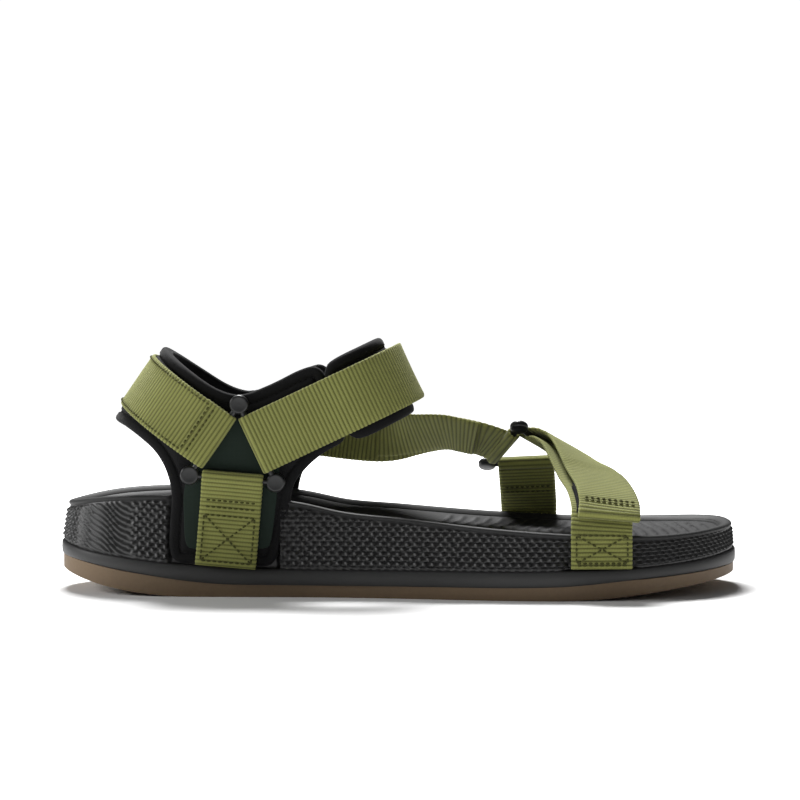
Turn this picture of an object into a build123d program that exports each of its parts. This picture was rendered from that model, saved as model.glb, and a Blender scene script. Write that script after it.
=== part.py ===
from build123d import *
import math
import os

# Right-foot strappy sport sandal, in millimetres.
# X runs from heel to toe, Y from the lateral (outer) side to the medial (inner) side, Z up.
# The origin is under the middle of the sandal, on the ground.

# ---- driving dimensions ----
WEBBING_WIDTH = 24.4
WEBBING = 1.5              # thickness of one layer of webbing
WALL_INSET = 3.0           # the footbed's side wall stands this far inside the midsole band
RIM_WIDTH = 4.5            # width of the footbed's raised rim
OUTSOLE_INSET = 0.8
GROOVE_DEPTH = 1.6
GROOVE_WIDTH = 2.4
GROOVE_PITCH = 9.5
GROOVED_LENGTH = 240.0
FIRST_GROOVE_X = -118.0
GROOVE_ARM = 46.0          # length of one arm of each V-shaped groove
GROOVE_ARM_Y = 26.0        # middle of the arm, from the sandal's middle line
GROOVE_SLANT = 24.0
GROOVE_MARGIN = 5.0        # plain border round the tread
BLANK_HEIGHT = 60.0        # blanks that the sole's layers are cut from
BLANK_HALF_WIDTH = 70.0
LEG_RECESS = (56.0, 20.0, 60.0)  # length, depth and height of the cut for a quarter's leg
LEG_RECESS_X = -70.0
LEG_RECESS_FIT = 0.1

COLLAR_MIDDLE_Y = -1.0     # the ankle parts are mirrored about this plane
QUARTER_INNER = 32.2       # distances from that plane
QUARTER_THICK = 3.0
FACING_THICK = 0.7
RING_PLANE = 39.2
RING_CENTRE = (-66.3, 57.8)     # X and Z of both ankle rings
RING_RADIUS = 20.0         # centre to lobe centre
LOBE_RADIUS = 3.9
LOBE_THICK = 3.0
LOBE_ROUNDING = 0.9
BAR_RADIUS = 1.3
BAR_PLAY = 0.1             # between a bar and the webbing round it
RING_TURN = 85.0           # direction of the first lobe, degrees above +X
WRAP_RADIUS = BAR_RADIUS + BAR_PLAY + WEBBING / 2
BAR_DISTANCE = RING_RADIUS / 2  # ring centre to the middle of a bar

ANKLE_SLOPE = 25.2         # the instep strap climbs forwards
HEEL_SLOPE = 34.5          # the heel strap climbs backwards
HEEL_PAD_DROP = 1.6        # the pad's middle lies this far below the strap's
HEEL_PAD_WIDTH = 36.0
HEEL_PAD_THICK = 5.0
HEEL_PAD_START = 17.5      # its arc starts this many degrees round from the strap's
ANKLE_PAD_WIDTH = 33.0
ANKLE_PAD_THICK = 4.5
ANKLE_PAD_RAISE = 0.8      # the pad's middle lies this far above the strap's
ANKLE_BASE_WRAP = 40.0     # how far the base layer reaches round the lateral bar, degrees
FLAP_ROOT_WIDTH = 22.8     # both flaps are drawn in where they go round their bars
INSTEP_CORNER_U = 48.9     # ring centre to where the instep strap starts to turn inwards
INSTEP_RADIUS = 25.0
TAPE_THICK = 1.1
FOREFOOT_TAPE_THICK = 0.8
FOREFOOT_TAPE_LIFT = 1.3   # middle of the tape above the middle of the strap
FLAP_SPLIT_U = 46.0        # where the instep flap's tip starts to curl
FLAP_SPLIT_GAP = 0.45      # between the instep flap's root and tip

GAP = 0.35                 # clearance between pieces that move apart
TAPE_WIDTH = 21.0
HEEL_RUN = 1.0             # straight length of the heel strap beyond each bar
HEEL_FOLD = 11.5           # length of webbing folded back at each end of the heel strap
INSTEP_FOLD = 22.0         # and at the medial end of the instep strap
FLAP_END_TURN = 20.0       # how far the instep flap's end turns past the front, degrees
TAG_FOOT_Z = 12.9
TAG_SLANT = 17.0           # the rear tag's outer layer closes on its inner one at this angle
TAG_SLANT_RUN = 7.6
TAG_BEND_RADIUS = 9.0

# The front ring leans over the medial side of the instep.
FRONT_CENTRE = (54, 31, 55.3)
FRONT_UP = (-0.154, -0.82, 0.549)        # from its centre to its top lobe
FRONT_FORWARD = (0.985, -0.15, 0.053)

# Forefoot strap, from its foot on the lateral side to the front ring: middle, direction across.
FOREFOOT_ROUTE = [
    ((80, -51.3, 12.7), (1, 0.05, 0)),
    ((80, -51.3, 20), (1, 0.05, 0)),
    ((80, -50.6, 27), (1, 0.06, 0)),
    ((80.3, -47.5, 32.3), (1, 0.1, 0)),
    ((80.6, -41.5, 36.3), (0.96, 0.27, 0)),
    ((79.5, -28, 41.8), (0.82, 0.57, 0.05)),
    ((76.3, -13, 46.6), (0.69, 0.72, 0.02)),
    ((72.6, 1.5, 51.4), (0.62, 0.77, -0.13)),
    ((68.8, 13.5, 55.6), (0.6, 0.74, -0.3)),
    ((65.2, 20.6, 57.2), (0.62, 0.67, -0.4)),
    ((61.7, 24.3, 56.7), (0.627, 0.635, -0.45)),
]
SPLIT_GAP = 0.5            # half of the gap between the forefoot flap's root and tip
FLAP_HEM = 3               # the flap's end lies over this station
FLAP_SPLIT = 6             # its tip starts to curl over this one
FLAP_LIFT = 3.9            # flap above strap

# Connector strap, from the front ring back to the medial side of the instep strap.
CONNECTOR_ROUTE = [
    ((42.1, 27.5, 58.2), (0.36, -0.786, 0.503)),
    ((35, 26.4, 60.6), (0.25, -0.8, 0.53)),
    ((26, 28, 62.4), (0.12, -0.8, 0.58)),
    ((17.5, 30.9, 63.2), (0, -0.79, 0.61)),
    ((4, 35, 61.8), (0, -0.68, 0.73)),
    ((-8, 39.2, 61.6), (0, -0.3, 0.95)),
    ((-20, 39.8, 63), (0, -0.08, 1)),
    ((-31, 38.75, 64.5), (0, 0, 1)),
    ((-42, 38.05, 66), (0, 0, 1)),
]

# Medial front tag, from the front ring's lower bar down to the sole.
MEDIAL_TAG_ACROSS = (1, -0.07, 0)
MEDIAL_TAG_ROUTE = [(55.6, 39.9, 47.4), (56.6, 45.6, 38), (57.4, 51, 30), (57.5, 52.5, 25),
                    (57.5, 52.5, 12.8)]

# Plan outline of the midsole band, anticlockwise from the back of the heel.
OUTLINE = [
    (-142, 0), (-136, -18), (-122, -30), (-100, -36.5), (-70, -38.5), (-30, -40),
    (10, -46), (45, -52), (75, -52.5), (100, -46.5), (122, -33), (137, -13),
    (142, 8), (138, 26), (122, 40.5), (98, 49.5), (65, 53), (35, 47.5),
    (0, 39.5), (-35, 35.5), (-70, 36), (-100, 35), (-122, 29), (-136, 17.5),
]

# Side-view heights of the sole's layers: X and Z.
GROUND_LINE = [(-150, 13), (-142, 9.8), (-130, 6), (-112, 2.2), (-90, 0), (60, 0),
               (85, 1.0), (105, 3.0), (125, 5.2), (150, 8.4)]
OUTSOLE_TOP = [(-150, 16), (-130, 13), (-112, 9.9), (-80, 6.7), (-40, 5.9), (0, 6.0),
               (60, 6.6), (100, 8.3), (150, 11.4)]
LEDGE_LINE = [(-150, 22.5), (-130, 18.2), (-112, 15.6), (-80, 12.4), (-40, 11.2), (0, 11.3),
              (60, 11.9), (100, 13.1), (125, 15), (150, 18)]
RIM_LINE = [(-150, 34.5), (-138, 36.8), (-124, 39.3), (-100, 40.8), (-60, 40.4), (-40, 38),
            (-24, 34.6), (0, 32.2), (40, 28.2), (80, 25.8), (110, 25.4), (130, 26.6), (150, 28)]
BED_LINE = [(-150, 31), (-125, 29), (-100, 28), (-40, 28), (0, 26.6), (40, 23.6),
            (80, 21.8), (110, 22), (130, 23.6), (150, 26)]


def inset_outline(inset):
    """The plan outline moved inwards, as a list of points."""
    count = len(OUTLINE)
    points = []
    for index in range(count):
        before = Vector(*OUTLINE[index - 1], 0)
        after = Vector(*OUTLINE[(index + 1) % count], 0)
        along = (after - before).normalized()
        inwards = Vector(-along.Y, along.X, 0)
        points.append(Vector(*OUTLINE[index], 0) + inwards * inset)
    return points


def plan_prism(inset):
    """Upright solid with the sole's plan outline."""
    edge = Spline(*inset_outline(inset), periodic=True)
    return extrude(make_face(edge), BLANK_HEIGHT)


def side_slab(lower, upper):
    """Slab across the sandal between two side-view lines."""
    low_edge = Spline(*lower)
    high_edge = Spline(*upper)
    front = Line(low_edge @ 1, high_edge @ 1)
    back = Line(low_edge @ 0, high_edge @ 0)
    face = make_face([low_edge, front, high_edge, back])
    return extrude(Plane.XZ * face, BLANK_HALF_WIDTH, both=True)


def layer(inset, lower, upper):
    return plan_prism(inset) & side_slab(lower, upper)


def raised(line, height):
    return [(x, z + height) for x, z in line]


def ribbon(start, heading, moves, thickness):
    """Constant-thickness strip in a plane: moves are (length,) or (radius, turn in degrees)."""
    half = thickness / 2
    place = Vector(*start, 0)
    angle = math.radians(heading)
    left, right = [], []
    first = last = None
    for move in moves:
        normal = Vector(-math.sin(angle), math.cos(angle), 0)
        begin = (place + normal * half, place - normal * half)
        if len(move) == 1:
            place = place + Vector(math.cos(angle), math.sin(angle), 0) * move[0]
            end = (place + normal * half, place - normal * half)
            left.append(Line(begin[0], end[0]))
            right.append(Line(begin[1], end[1]))
        else:
            radius, turn = move
            side = math.copysign(1, turn)
            centre = place + normal * radius * side
            middle_angle = angle + math.radians(turn) / 2
            angle = angle + math.radians(turn)
            middle = Vector(math.sin(middle_angle), -math.cos(middle_angle), 0) * side
            outer = Vector(math.sin(angle), -math.cos(angle), 0) * side
            place = centre + outer * radius
            ends = []
            for offset in (half, -half):
                reach = radius - offset * side
                ends.append((centre + middle * reach, centre + outer * reach))
            left.append(ThreePointArc(begin[0], ends[0][0], ends[0][1]))
            right.append(ThreePointArc(begin[1], ends[1][0], ends[1][1]))
            end = (ends[0][1], ends[1][1])
        if first is None:
            first = begin
        last = end
    caps = [Line(first[0], first[1]), Line(last[0], last[1])]
    return make_face(left + right + caps)


def slope_plane(slope, backwards=False):
    """Plane through the ring centres: local X climbs along a strap, local Y is the row's Y."""
    turn = math.radians(180 - slope if backwards else slope)
    along = (math.cos(turn), 0, math.sin(turn))
    across = (-math.sin(turn), 0, math.cos(turn))
    origin = (RING_CENTRE[0], COLLAR_MIDDLE_Y, RING_CENTRE[1])
    return Plane(origin=origin, x_dir=along, z_dir=across)


def band(face, plane, low, high):
    """Extrudes a strip across the strap, from low to high."""
    return extrude(plane * (Pos(0, 0, low) * face), high - low, dir=plane.z_dir)


def medial(shape):
    """The mirrored copy on the medial side."""
    return mirror(shape, about=Plane(origin=(0, COLLAR_MIDDLE_Y, 0), z_dir=(0, 1, 0)))


# ---- sole ----
def make_outsole():
    body = layer(OUTSOLE_INSET, GROUND_LINE, OUTSOLE_TOP)
    grooves = []
    count = int(GROOVED_LENGTH / GROOVE_PITCH)
    arm = Box(GROOVE_WIDTH, GROOVE_ARM, BLANK_HEIGHT)
    for index in range(count):
        x = FIRST_GROOVE_X + index * GROOVE_PITCH
        for side in (-1, 1):
            grooves.append(Pos(x, side * GROOVE_ARM_Y, 0) * Rot(0, 0, side * GROOVE_SLANT) * arm)
    floor = side_slab(raised(GROUND_LINE, -BLANK_HEIGHT / 2), raised(GROUND_LINE, GROOVE_DEPTH))
    tread = Part() + grooves
    inner = plan_prism(OUTSOLE_INSET + GROOVE_MARGIN)
    return body - (tread & floor & inner)


def make_midsole():
    return layer(0, OUTSOLE_TOP, LEDGE_LINE)


def leg_recesses():
    """The quarters' legs lie in shallow recesses in the footbed's wall."""
    length, depth, height = LEG_RECESS
    box = Box(length, depth, height)
    cuts = []
    for side in (-1, 1):
        y = COLLAR_MIDDLE_Y + side * (QUARTER_INNER - LEG_RECESS_FIT + depth / 2)
        cuts.append(Pos(LEG_RECESS_X, y, height / 2) * box)
    return cuts


def make_footbed():
    body = layer(WALL_INSET, LEDGE_LINE, RIM_LINE)
    dish = plan_prism(WALL_INSET + RIM_WIDTH) & side_slab(BED_LINE, raised(BED_LINE, BLANK_HEIGHT / 2))
    return body - dish - leg_recesses()


# ---- ankle collar ----
def make_quarter():
    """Y-shaped neoprene side piece, in the lateral position."""
    front_leg = Spline((-50, 8), (-46, 28), (-43, 44), (-34.5, 55.2), (-21.5, 62.6))
    wing_end = Line((-21.5, 62.6), (-31.5, 88))
    wing_corner = ThreePointArc((-31.5, 88), (-33, 91), (-37, 92.4))
    top = Spline((-37, 92.4), (-48.6, 87.6), (-60, 82.6), (-67, 81.8), (-73.9, 83.8))
    heel_end = Line((-73.9, 83.8), (-92.6, 56.6))
    back_leg = Spline((-92.6, 56.6), (-92.2, 42), (-93, 24), (-93, 8))
    foot = Line((-93, 8), (-50, 8))
    face = make_face([front_leg, wing_end, wing_corner, top, heel_end, back_leg, foot])
    outer = COLLAR_MIDDLE_Y - QUARTER_INNER
    plate = extrude(Plane(origin=(0, outer, 0), x_dir=(1, 0, 0), z_dir=(0, -1, 0)) * face,
                    QUARTER_THICK)
    return plate - side_slab(raised(LEDGE_LINE, -BLANK_HEIGHT / 2), LEDGE_LINE)


def make_facing():
    """Thin woven panel on the quarter's leg, inside its padded edge."""
    corners = [(-86.5, 8), (-87, 52), (-66, 76), (-48, 52), (-54, 8)]
    face = make_face(Polyline(*corners, close=True))
    outer = COLLAR_MIDDLE_Y - QUARTER_INNER - QUARTER_THICK
    plate = extrude(Plane(origin=(0, outer, 0), x_dir=(1, 0, 0), z_dir=(0, -1, 0)) * face,
                    FACING_THICK)
    return plate - side_slab(raised(LEDGE_LINE, -BLANK_HEIGHT / 2), LEDGE_LINE)


def ring_solid(lobes):
    """Triangular ring: three flat lobes joined by round bars."""
    first, second, third = lobes
    normal = (second - first).cross(third - first).normalized()
    solid = Part()
    for index in range(3):
        begin = lobes[index]
        end = lobes[(index + 1) % 3]
        bar = Plane(origin=begin, z_dir=(end - begin)) * Circle(BAR_RADIUS)
        solid += extrude(bar, (end - begin).length)
        lobe = Plane(origin=begin - normal * LOBE_THICK / 2, z_dir=normal)
        disc = extrude(lobe * Circle(LOBE_RADIUS), LOBE_THICK)
        disc = fillet(disc.edges(), LOBE_ROUNDING)
        solid += disc
    return solid


def make_ankle_ring():
    lobes = []
    for index in range(3):
        turn = math.radians(RING_TURN + 120 * index)
        x = RING_CENTRE[0] + RING_RADIUS * math.cos(turn)
        z = RING_CENTRE[1] + RING_RADIUS * math.sin(turn)
        lobes.append(Vector(x, COLLAR_MIDDLE_Y - RING_PLANE, z))
    return ring_solid(lobes)


def make_heel_pad():
    radius = RING_PLANE + WRAP_RADIUS - WEBBING / 2 - GAP - HEEL_PAD_THICK / 2
    turn = math.radians(HEEL_PAD_START)
    start = (BAR_DISTANCE + HEEL_RUN + radius * math.sin(turn), -radius * math.cos(turn))
    face = ribbon(start, HEEL_PAD_START, [(radius, 180 - 2 * HEEL_PAD_START)], HEEL_PAD_THICK)
    plane = slope_plane(HEEL_SLOPE, backwards=True)
    low = HEEL_PAD_DROP - HEEL_PAD_WIDTH / 2
    return band(face, plane, low, low + HEEL_PAD_WIDTH)


def fold(side, returning):
    """Strip wrapped half round a bar, with its inner run."""
    inner = side * (RING_PLANE - WRAP_RADIUS)
    wrap = ribbon((BAR_DISTANCE, inner), 180, [(WRAP_RADIUS, -180 * side)], WEBBING)
    return wrap + ribbon((BAR_DISTANCE, inner), 0, [(returning,)], WEBBING)


def make_heel_strap():
    """Runs round the heel from ring to ring, and folds back on itself at each bar."""
    reach = RING_PLANE + WRAP_RADIUS
    face = ribbon((BAR_DISTANCE, -reach), 0, [(HEEL_RUN,), (reach, 180), (HEEL_RUN,)], WEBBING)
    for side in (-1, 1):
        face += fold(side, HEEL_FOLD)
    plane = slope_plane(HEEL_SLOPE, backwards=True)
    return band(face, plane, -WEBBING_WIDTH / 2, WEBBING_WIDTH / 2)


def make_rear_tag():
    """Webbing loop that ties an ankle ring down to the sole."""
    down = RING_TURN + 180
    length = (RING_CENTRE[1] - TAG_FOOT_Z) / math.cos(math.radians(270 - down)) - BAR_DISTANCE
    outer = -(RING_PLANE + WRAP_RADIUS)
    slant = math.radians(TAG_SLANT)
    closing = TAG_SLANT_RUN * math.cos(slant) + TAG_BEND_RADIUS * math.sin(slant)
    moves = [(TAG_SLANT_RUN,), (TAG_BEND_RADIUS, -TAG_SLANT), (length - closing,)]
    face = fold(-1, length) + ribbon((BAR_DISTANCE, outer), TAG_SLANT, moves, WEBBING)
    return band(face, slope_plane(down), -WEBBING_WIDTH / 2, WEBBING_WIDTH / 2)


# ---- instep strap ----
def instep_path(offset, turn_back):
    """Moves round the front of the ankle, at a distance outside the strap's base layer."""
    flat = 2 * (RING_PLANE - WRAP_RADIUS - INSTEP_RADIUS)
    run = INSTEP_CORNER_U - BAR_DISTANCE
    return [(run,), (INSTEP_RADIUS + offset, 90), (flat,), (INSTEP_RADIUS + offset, turn_back)]


def make_ankle_pad():
    inwards = WEBBING / 2 + GAP + ANKLE_PAD_THICK / 2
    start = (INSTEP_CORNER_U + GAP, -(RING_PLANE - WRAP_RADIUS - inwards))
    face = ribbon(start, 0, instep_path(-inwards, 90)[1:], ANKLE_PAD_THICK)
    low = ANKLE_PAD_RAISE - ANKLE_PAD_WIDTH / 2
    return band(face, slope_plane(ANKLE_SLOPE), low, low + ANKLE_PAD_WIDTH)


def make_ankle_strap():
    """Base layer: from the lateral bar round the instep to the medial bar, folded there."""
    turn = math.radians(90 + ANKLE_BASE_WRAP)
    start = (BAR_DISTANCE + WRAP_RADIUS * math.cos(turn), -RING_PLANE + WRAP_RADIUS * math.sin(turn))
    run = INSTEP_CORNER_U - BAR_DISTANCE
    moves = [(WRAP_RADIUS, -ANKLE_BASE_WRAP)] + instep_path(0, 90) + [(run,)]
    face = ribbon(start, ANKLE_BASE_WRAP, moves, WEBBING)
    face += ribbon((BAR_DISTANCE, RING_PLANE - WRAP_RADIUS), 180, [(WRAP_RADIUS, -180)], WEBBING)
    face += ribbon((BAR_DISTANCE, RING_PLANE + WRAP_RADIUS), 0, [(INSTEP_FOLD,)], WEBBING)
    return band(face, slope_plane(ANKLE_SLOPE), -WEBBING_WIDTH / 2, WEBBING_WIDTH / 2)


def make_ankle_flap():
    """Outer layer: folded back from the lateral bar, closed by hook and loop."""
    reach = RING_PLANE + WRAP_RADIUS
    offset = 2 * WRAP_RADIUS
    root = ribbon((BAR_DISTANCE, -reach), 0, [(FLAP_SPLIT_U - FLAP_SPLIT_GAP / 2 - BAR_DISTANCE,)], WEBBING)
    run = INSTEP_CORNER_U - FLAP_SPLIT_U - FLAP_SPLIT_GAP / 2
    moves = [(run,)] + instep_path(offset, FLAP_END_TURN)[1:]
    tip = ribbon((FLAP_SPLIT_U + FLAP_SPLIT_GAP / 2, -reach), 0, moves, WEBBING)
    plane = slope_plane(ANKLE_SLOPE)
    root_solid = band(root, plane, -FLAP_ROOT_WIDTH / 2, FLAP_ROOT_WIDTH / 2)
    return root_solid, band(tip, plane, -WEBBING_WIDTH / 2, WEBBING_WIDTH / 2)


def make_ankle_tapes():
    """Loop tape on the base layer and hook tape on the flap, across the front of the ankle."""
    plane = slope_plane(ANKLE_SLOPE)
    tapes = []
    for offset in ((WEBBING + TAPE_THICK) / 2, 2 * WRAP_RADIUS - (WEBBING + TAPE_THICK) / 2):
        start = (INSTEP_CORNER_U + INSTEP_RADIUS + offset, -(RING_PLANE - WRAP_RADIUS - INSTEP_RADIUS))
        face = ribbon(start, 90, instep_path(offset, FLAP_END_TURN - 3)[2:], TAPE_THICK)
        tapes.append(band(face, plane, -TAPE_WIDTH / 2, TAPE_WIDTH / 2))
    return tapes


# ---- forefoot ----
def strap_frames(stations):
    """Local directions of a twisting strap at each station: middle, across, outwards, along."""
    middles = [Vector(*middle) for middle, _ in stations]
    frames = []
    for index, (_, across) in enumerate(stations):
        before = middles[max(index - 1, 0)]
        after = middles[min(index + 1, len(stations) - 1)]
        along = (after - before).normalized()
        side = Vector(*across)
        side = (side - along * side.dot(along)).normalized()
        frames.append((middles[index], side, side.cross(along), along))
    return frames


def strap_loft(frames, lifts, thickness, width=WEBBING_WIDTH):
    """Strip of webbing through the frames, each section lifted off its frame's middle."""
    faces = []
    for (middle, side, out, along), lift in zip(frames, lifts):
        plane = Plane(origin=middle + out * lift, x_dir=side, z_dir=along)
        faces.append(plane * Rectangle(width, thickness))
    return loft(faces, ruled=True)


def front_lobes():
    """Top, rear and fore lobe centres of the front ring."""
    up = Vector(*FRONT_UP).normalized()
    forward = (Vector(*FRONT_FORWARD) - up * Vector(*FRONT_FORWARD).dot(up)).normalized()
    lobes = []
    for turn in (90, 210, 330):
        angle = math.radians(turn)
        reach = forward * math.cos(angle) + up * math.sin(angle)
        lobes.append(Vector(*FRONT_CENTRE) + reach * RING_RADIUS)
    return lobes


def bar_sleeve(begin, end):
    """Webbing wrapped round one bar of the front ring."""
    middle = (begin + end) * 0.5
    along = (end - begin).normalized()
    plane = Plane(origin=middle, z_dir=along)
    ring = Circle(BAR_RADIUS + BAR_PLAY + WEBBING) - Circle(BAR_RADIUS + BAR_PLAY)
    return extrude(plane * ring, WEBBING_WIDTH / 2, both=True)


def make_forefoot_strap():
    frames = strap_frames(FOREFOOT_ROUTE)
    return strap_loft(frames, [0] * len(frames), WEBBING)


def make_forefoot_flap():
    """Folded back over the ring's bar, it lies on the strap; root and tip are two pieces."""
    frames = strap_frames(FOREFOOT_ROUTE)
    middle, side, out, along = frames[FLAP_SPLIT]
    upper = [(middle + along * SPLIT_GAP, side, out, along)] + frames[FLAP_SPLIT + 1:]
    lower = frames[FLAP_HEM:FLAP_SPLIT] + [(middle - along * SPLIT_GAP, side, out, along)]
    lifts = [FLAP_LIFT] * (len(upper) - 1) + [2 * WRAP_RADIUS]
    root = strap_loft(upper, lifts, WEBBING, FLAP_ROOT_WIDTH)
    tip = strap_loft(lower, [FLAP_LIFT] * len(lower), WEBBING)
    return root, tip


def make_forefoot_tapes():
    """Loop tape on the strap and hook tape under the flap's tip."""
    frames = strap_frames(FOREFOOT_ROUTE)[FLAP_HEM:FLAP_SPLIT]
    tapes = []
    for lift in (FOREFOOT_TAPE_LIFT, FLAP_LIFT - FOREFOOT_TAPE_LIFT):
        tapes.append(strap_loft(frames, [lift] * len(frames), FOREFOOT_TAPE_THICK, TAPE_WIDTH))
    return tapes


def make_medial_front_tag():
    """Two layers of webbing from the front ring's lower bar down to the sole."""
    frames = strap_frames([(middle, MEDIAL_TAG_ACROSS) for middle in MEDIAL_TAG_ROUTE])
    rear, fore = front_lobes()[1:]
    return bar_sleeve(rear, fore) + strap_loft(frames, [0] * len(frames), 2 * WEBBING)


def make_connector_strap():
    """Webbing from the front ring's rear bar back to the medial instep strap."""
    frames = strap_frames(CONNECTOR_ROUTE)
    top, rear = front_lobes()[:2]
    return bar_sleeve(top, rear) + strap_loft(frames, [0] * len(frames), WEBBING)


def main():
    os.makedirs("parts", exist_ok=True)
    quarter = make_quarter()
    facing = make_facing()
    ring = make_ankle_ring()
    rear_tag = make_rear_tag()
    ankle_flap_root, ankle_flap_tip = make_ankle_flap()
    ankle_loop_tape, ankle_hook_tape = make_ankle_tapes()
    forefoot_flap_root, forefoot_flap_tip = make_forefoot_flap()
    forefoot_loop_tape, forefoot_hook_tape = make_forefoot_tapes()
    nodes = {
        "outsole": make_outsole(),
        "midsole": make_midsole(),
        "footbed": make_footbed(),
        "lateral_quarter": quarter,
        "medial_quarter": medial(quarter),
        "lateral_quarter_facing": facing,
        "medial_quarter_facing": medial(facing),
        "lateral_ring": ring,
        "medial_ring": medial(ring),
        "lateral_rear_tag": rear_tag,
        "medial_rear_tag": medial(rear_tag),
        "heel_pad": make_heel_pad(),
        "heel_strap": make_heel_strap(),
        "ankle_pad": make_ankle_pad(),
        "ankle_strap": make_ankle_strap(),
        "ankle_flap_root": ankle_flap_root,
        "ankle_flap_tip": ankle_flap_tip,
        "ankle_loop_tape": ankle_loop_tape,
        "ankle_hook_tape": ankle_hook_tape,
        "front_ring": ring_solid(front_lobes()),
        "forefoot_strap": make_forefoot_strap(),
        "forefoot_flap_root": forefoot_flap_root,
        "forefoot_flap_tip": forefoot_flap_tip,
        "forefoot_loop_tape": forefoot_loop_tape,
        "forefoot_hook_tape": forefoot_hook_tape,
        "medial_front_tag": make_medial_front_tag(),
        "connector_strap": make_connector_strap(),
    }
    for name, shape in nodes.items():
        export_step(shape, os.path.join("parts", name + ".step"))


main()
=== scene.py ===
import math
import random

import bpy
import numpy as np
from bpy.props import FloatProperty, FloatVectorProperty, PointerProperty
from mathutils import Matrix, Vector
from mathutils.geometry import delaunay_2d_cdt


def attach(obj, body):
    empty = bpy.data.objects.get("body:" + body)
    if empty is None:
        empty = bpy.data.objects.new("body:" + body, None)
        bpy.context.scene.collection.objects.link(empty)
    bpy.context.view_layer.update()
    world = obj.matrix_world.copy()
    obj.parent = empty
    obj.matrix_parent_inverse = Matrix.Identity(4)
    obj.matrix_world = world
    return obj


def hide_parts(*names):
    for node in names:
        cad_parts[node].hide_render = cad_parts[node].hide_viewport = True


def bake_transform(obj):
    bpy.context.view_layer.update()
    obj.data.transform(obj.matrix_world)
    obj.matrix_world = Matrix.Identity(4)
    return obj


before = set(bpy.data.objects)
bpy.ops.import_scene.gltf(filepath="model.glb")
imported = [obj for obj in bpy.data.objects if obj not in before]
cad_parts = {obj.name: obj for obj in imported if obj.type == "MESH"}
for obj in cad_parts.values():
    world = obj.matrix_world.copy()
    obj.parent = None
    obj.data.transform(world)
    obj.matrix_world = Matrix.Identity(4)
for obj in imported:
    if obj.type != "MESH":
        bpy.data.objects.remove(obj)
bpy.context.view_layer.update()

bl_info = {
    "name": "Strappy sport sandal",
    "version": (1, 0, 0),
    "blender": (4, 5, 0),
    "location": "3D View > Sidebar > Sandal",
    "description": "Builds a webbing sport sandal round its packed model",
    "category": "Object",
}

# Lengths in this file are in millimetres; meshes are scaled to metres when they are made.
MM = 0.001
MIDDLE_Y = -1.0            # the ankle parts mirror about this plane
RING_CENTRE = (-66.3, 57.8)
RING_PLANE = 39.2
RING_RADIUS = 20.0
RING_TURN = 85.0
LOBE_RADIUS = 3.9
BAR = 10.0                 # ring centre to the middle of a bar
BAR_RADIUS = 1.3
WRAP = 2.15                # bar centre to the middle of the webbing round it
ANKLE_SLOPE = 25.2
HEEL_SLOPE = 145.5
TAG_SLOPE = 265.0
CORNER_U = 48.9            # where the instep strap starts to turn inwards
CORNER_RADIUS = 25.0
SPLIT_U = 46.0             # where the instep flap's end piece begins
FRONT_CENTRE = (54, 31, 55.3)
FRONT_UP = (-0.154, -0.82, 0.549)
FRONT_FORWARD = (0.985, -0.15, 0.053)
OUTLINE = [
    (-142, 0), (-136, -18), (-122, -30), (-100, -36.5), (-70, -38.5), (-30, -40),
    (10, -46), (45, -52), (75, -52.5), (100, -46.5), (122, -33), (137, -13),
    (142, 8), (138, 26), (122, 40.5), (98, 49.5), (65, 53), (35, 47.5),
    (0, 39.5), (-35, 35.5), (-70, 36), (-100, 35), (-122, 29), (-136, 17.5),
]
OUTSOLE_TOP = [(-150, 16), (-130, 13), (-112, 9.9), (-80, 6.7), (-40, 5.9), (0, 6.0),
               (60, 6.6), (100, 8.3), (150, 11.4)]
LEDGE_LINE = [(-150, 22.5), (-130, 18.2), (-112, 15.6), (-80, 12.4), (-40, 11.2), (0, 11.3),
              (60, 11.9), (100, 13.1), (125, 15), (150, 18)]
RIM_LINE = [(-150, 34.5), (-138, 36.8), (-124, 39.3), (-100, 40.8), (-60, 40.4), (-40, 38),
            (-24, 34.6), (0, 32.2), (40, 28.2), (80, 25.8), (110, 25.4), (130, 26.6), (150, 28)]
BED_LINE = [(-150, 31), (-125, 29), (-100, 28), (-40, 28), (0, 26.6), (40, 23.6),
            (80, 21.8), (110, 22), (130, 23.6), (150, 26)]
FOREFOOT_ROUTE = [
    ((80, -51.3, 12.7), (1, 0.05, 0)), ((80, -51.3, 20), (1, 0.05, 0)),
    ((80, -50.6, 27), (1, 0.06, 0)), ((80.3, -47.5, 32.3), (1, 0.1, 0)),
    ((80.6, -41.5, 36.3), (0.96, 0.27, 0)), ((79.5, -28, 41.8), (0.82, 0.57, 0.05)),
    ((76.3, -13, 46.6), (0.69, 0.72, 0.02)), ((72.6, 1.5, 51.4), (0.62, 0.77, -0.13)),
    ((68.8, 13.5, 55.6), (0.6, 0.74, -0.3)), ((65.2, 20.6, 57.2), (0.62, 0.67, -0.4)),
    ((61.7, 24.3, 56.7), (0.627, 0.635, -0.45)),
]
CONNECTOR_ROUTE = [
    ((42.1, 27.5, 58.2), (0.36, -0.786, 0.503)), ((35, 26.4, 60.6), (0.25, -0.8, 0.53)),
    ((26, 28, 62.4), (0.12, -0.8, 0.58)), ((17.5, 30.9, 63.2), (0, -0.79, 0.61)),
    ((4, 35, 61.8), (0, -0.68, 0.73)), ((-8, 39.2, 61.6), (0, -0.3, 0.95)),
    ((-20, 39.8, 63), (0, -0.08, 1)), ((-31, 38.75, 64.5), (0, 0, 1)), ((-42, 38.05, 66), (0, 0, 1)),
]
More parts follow.
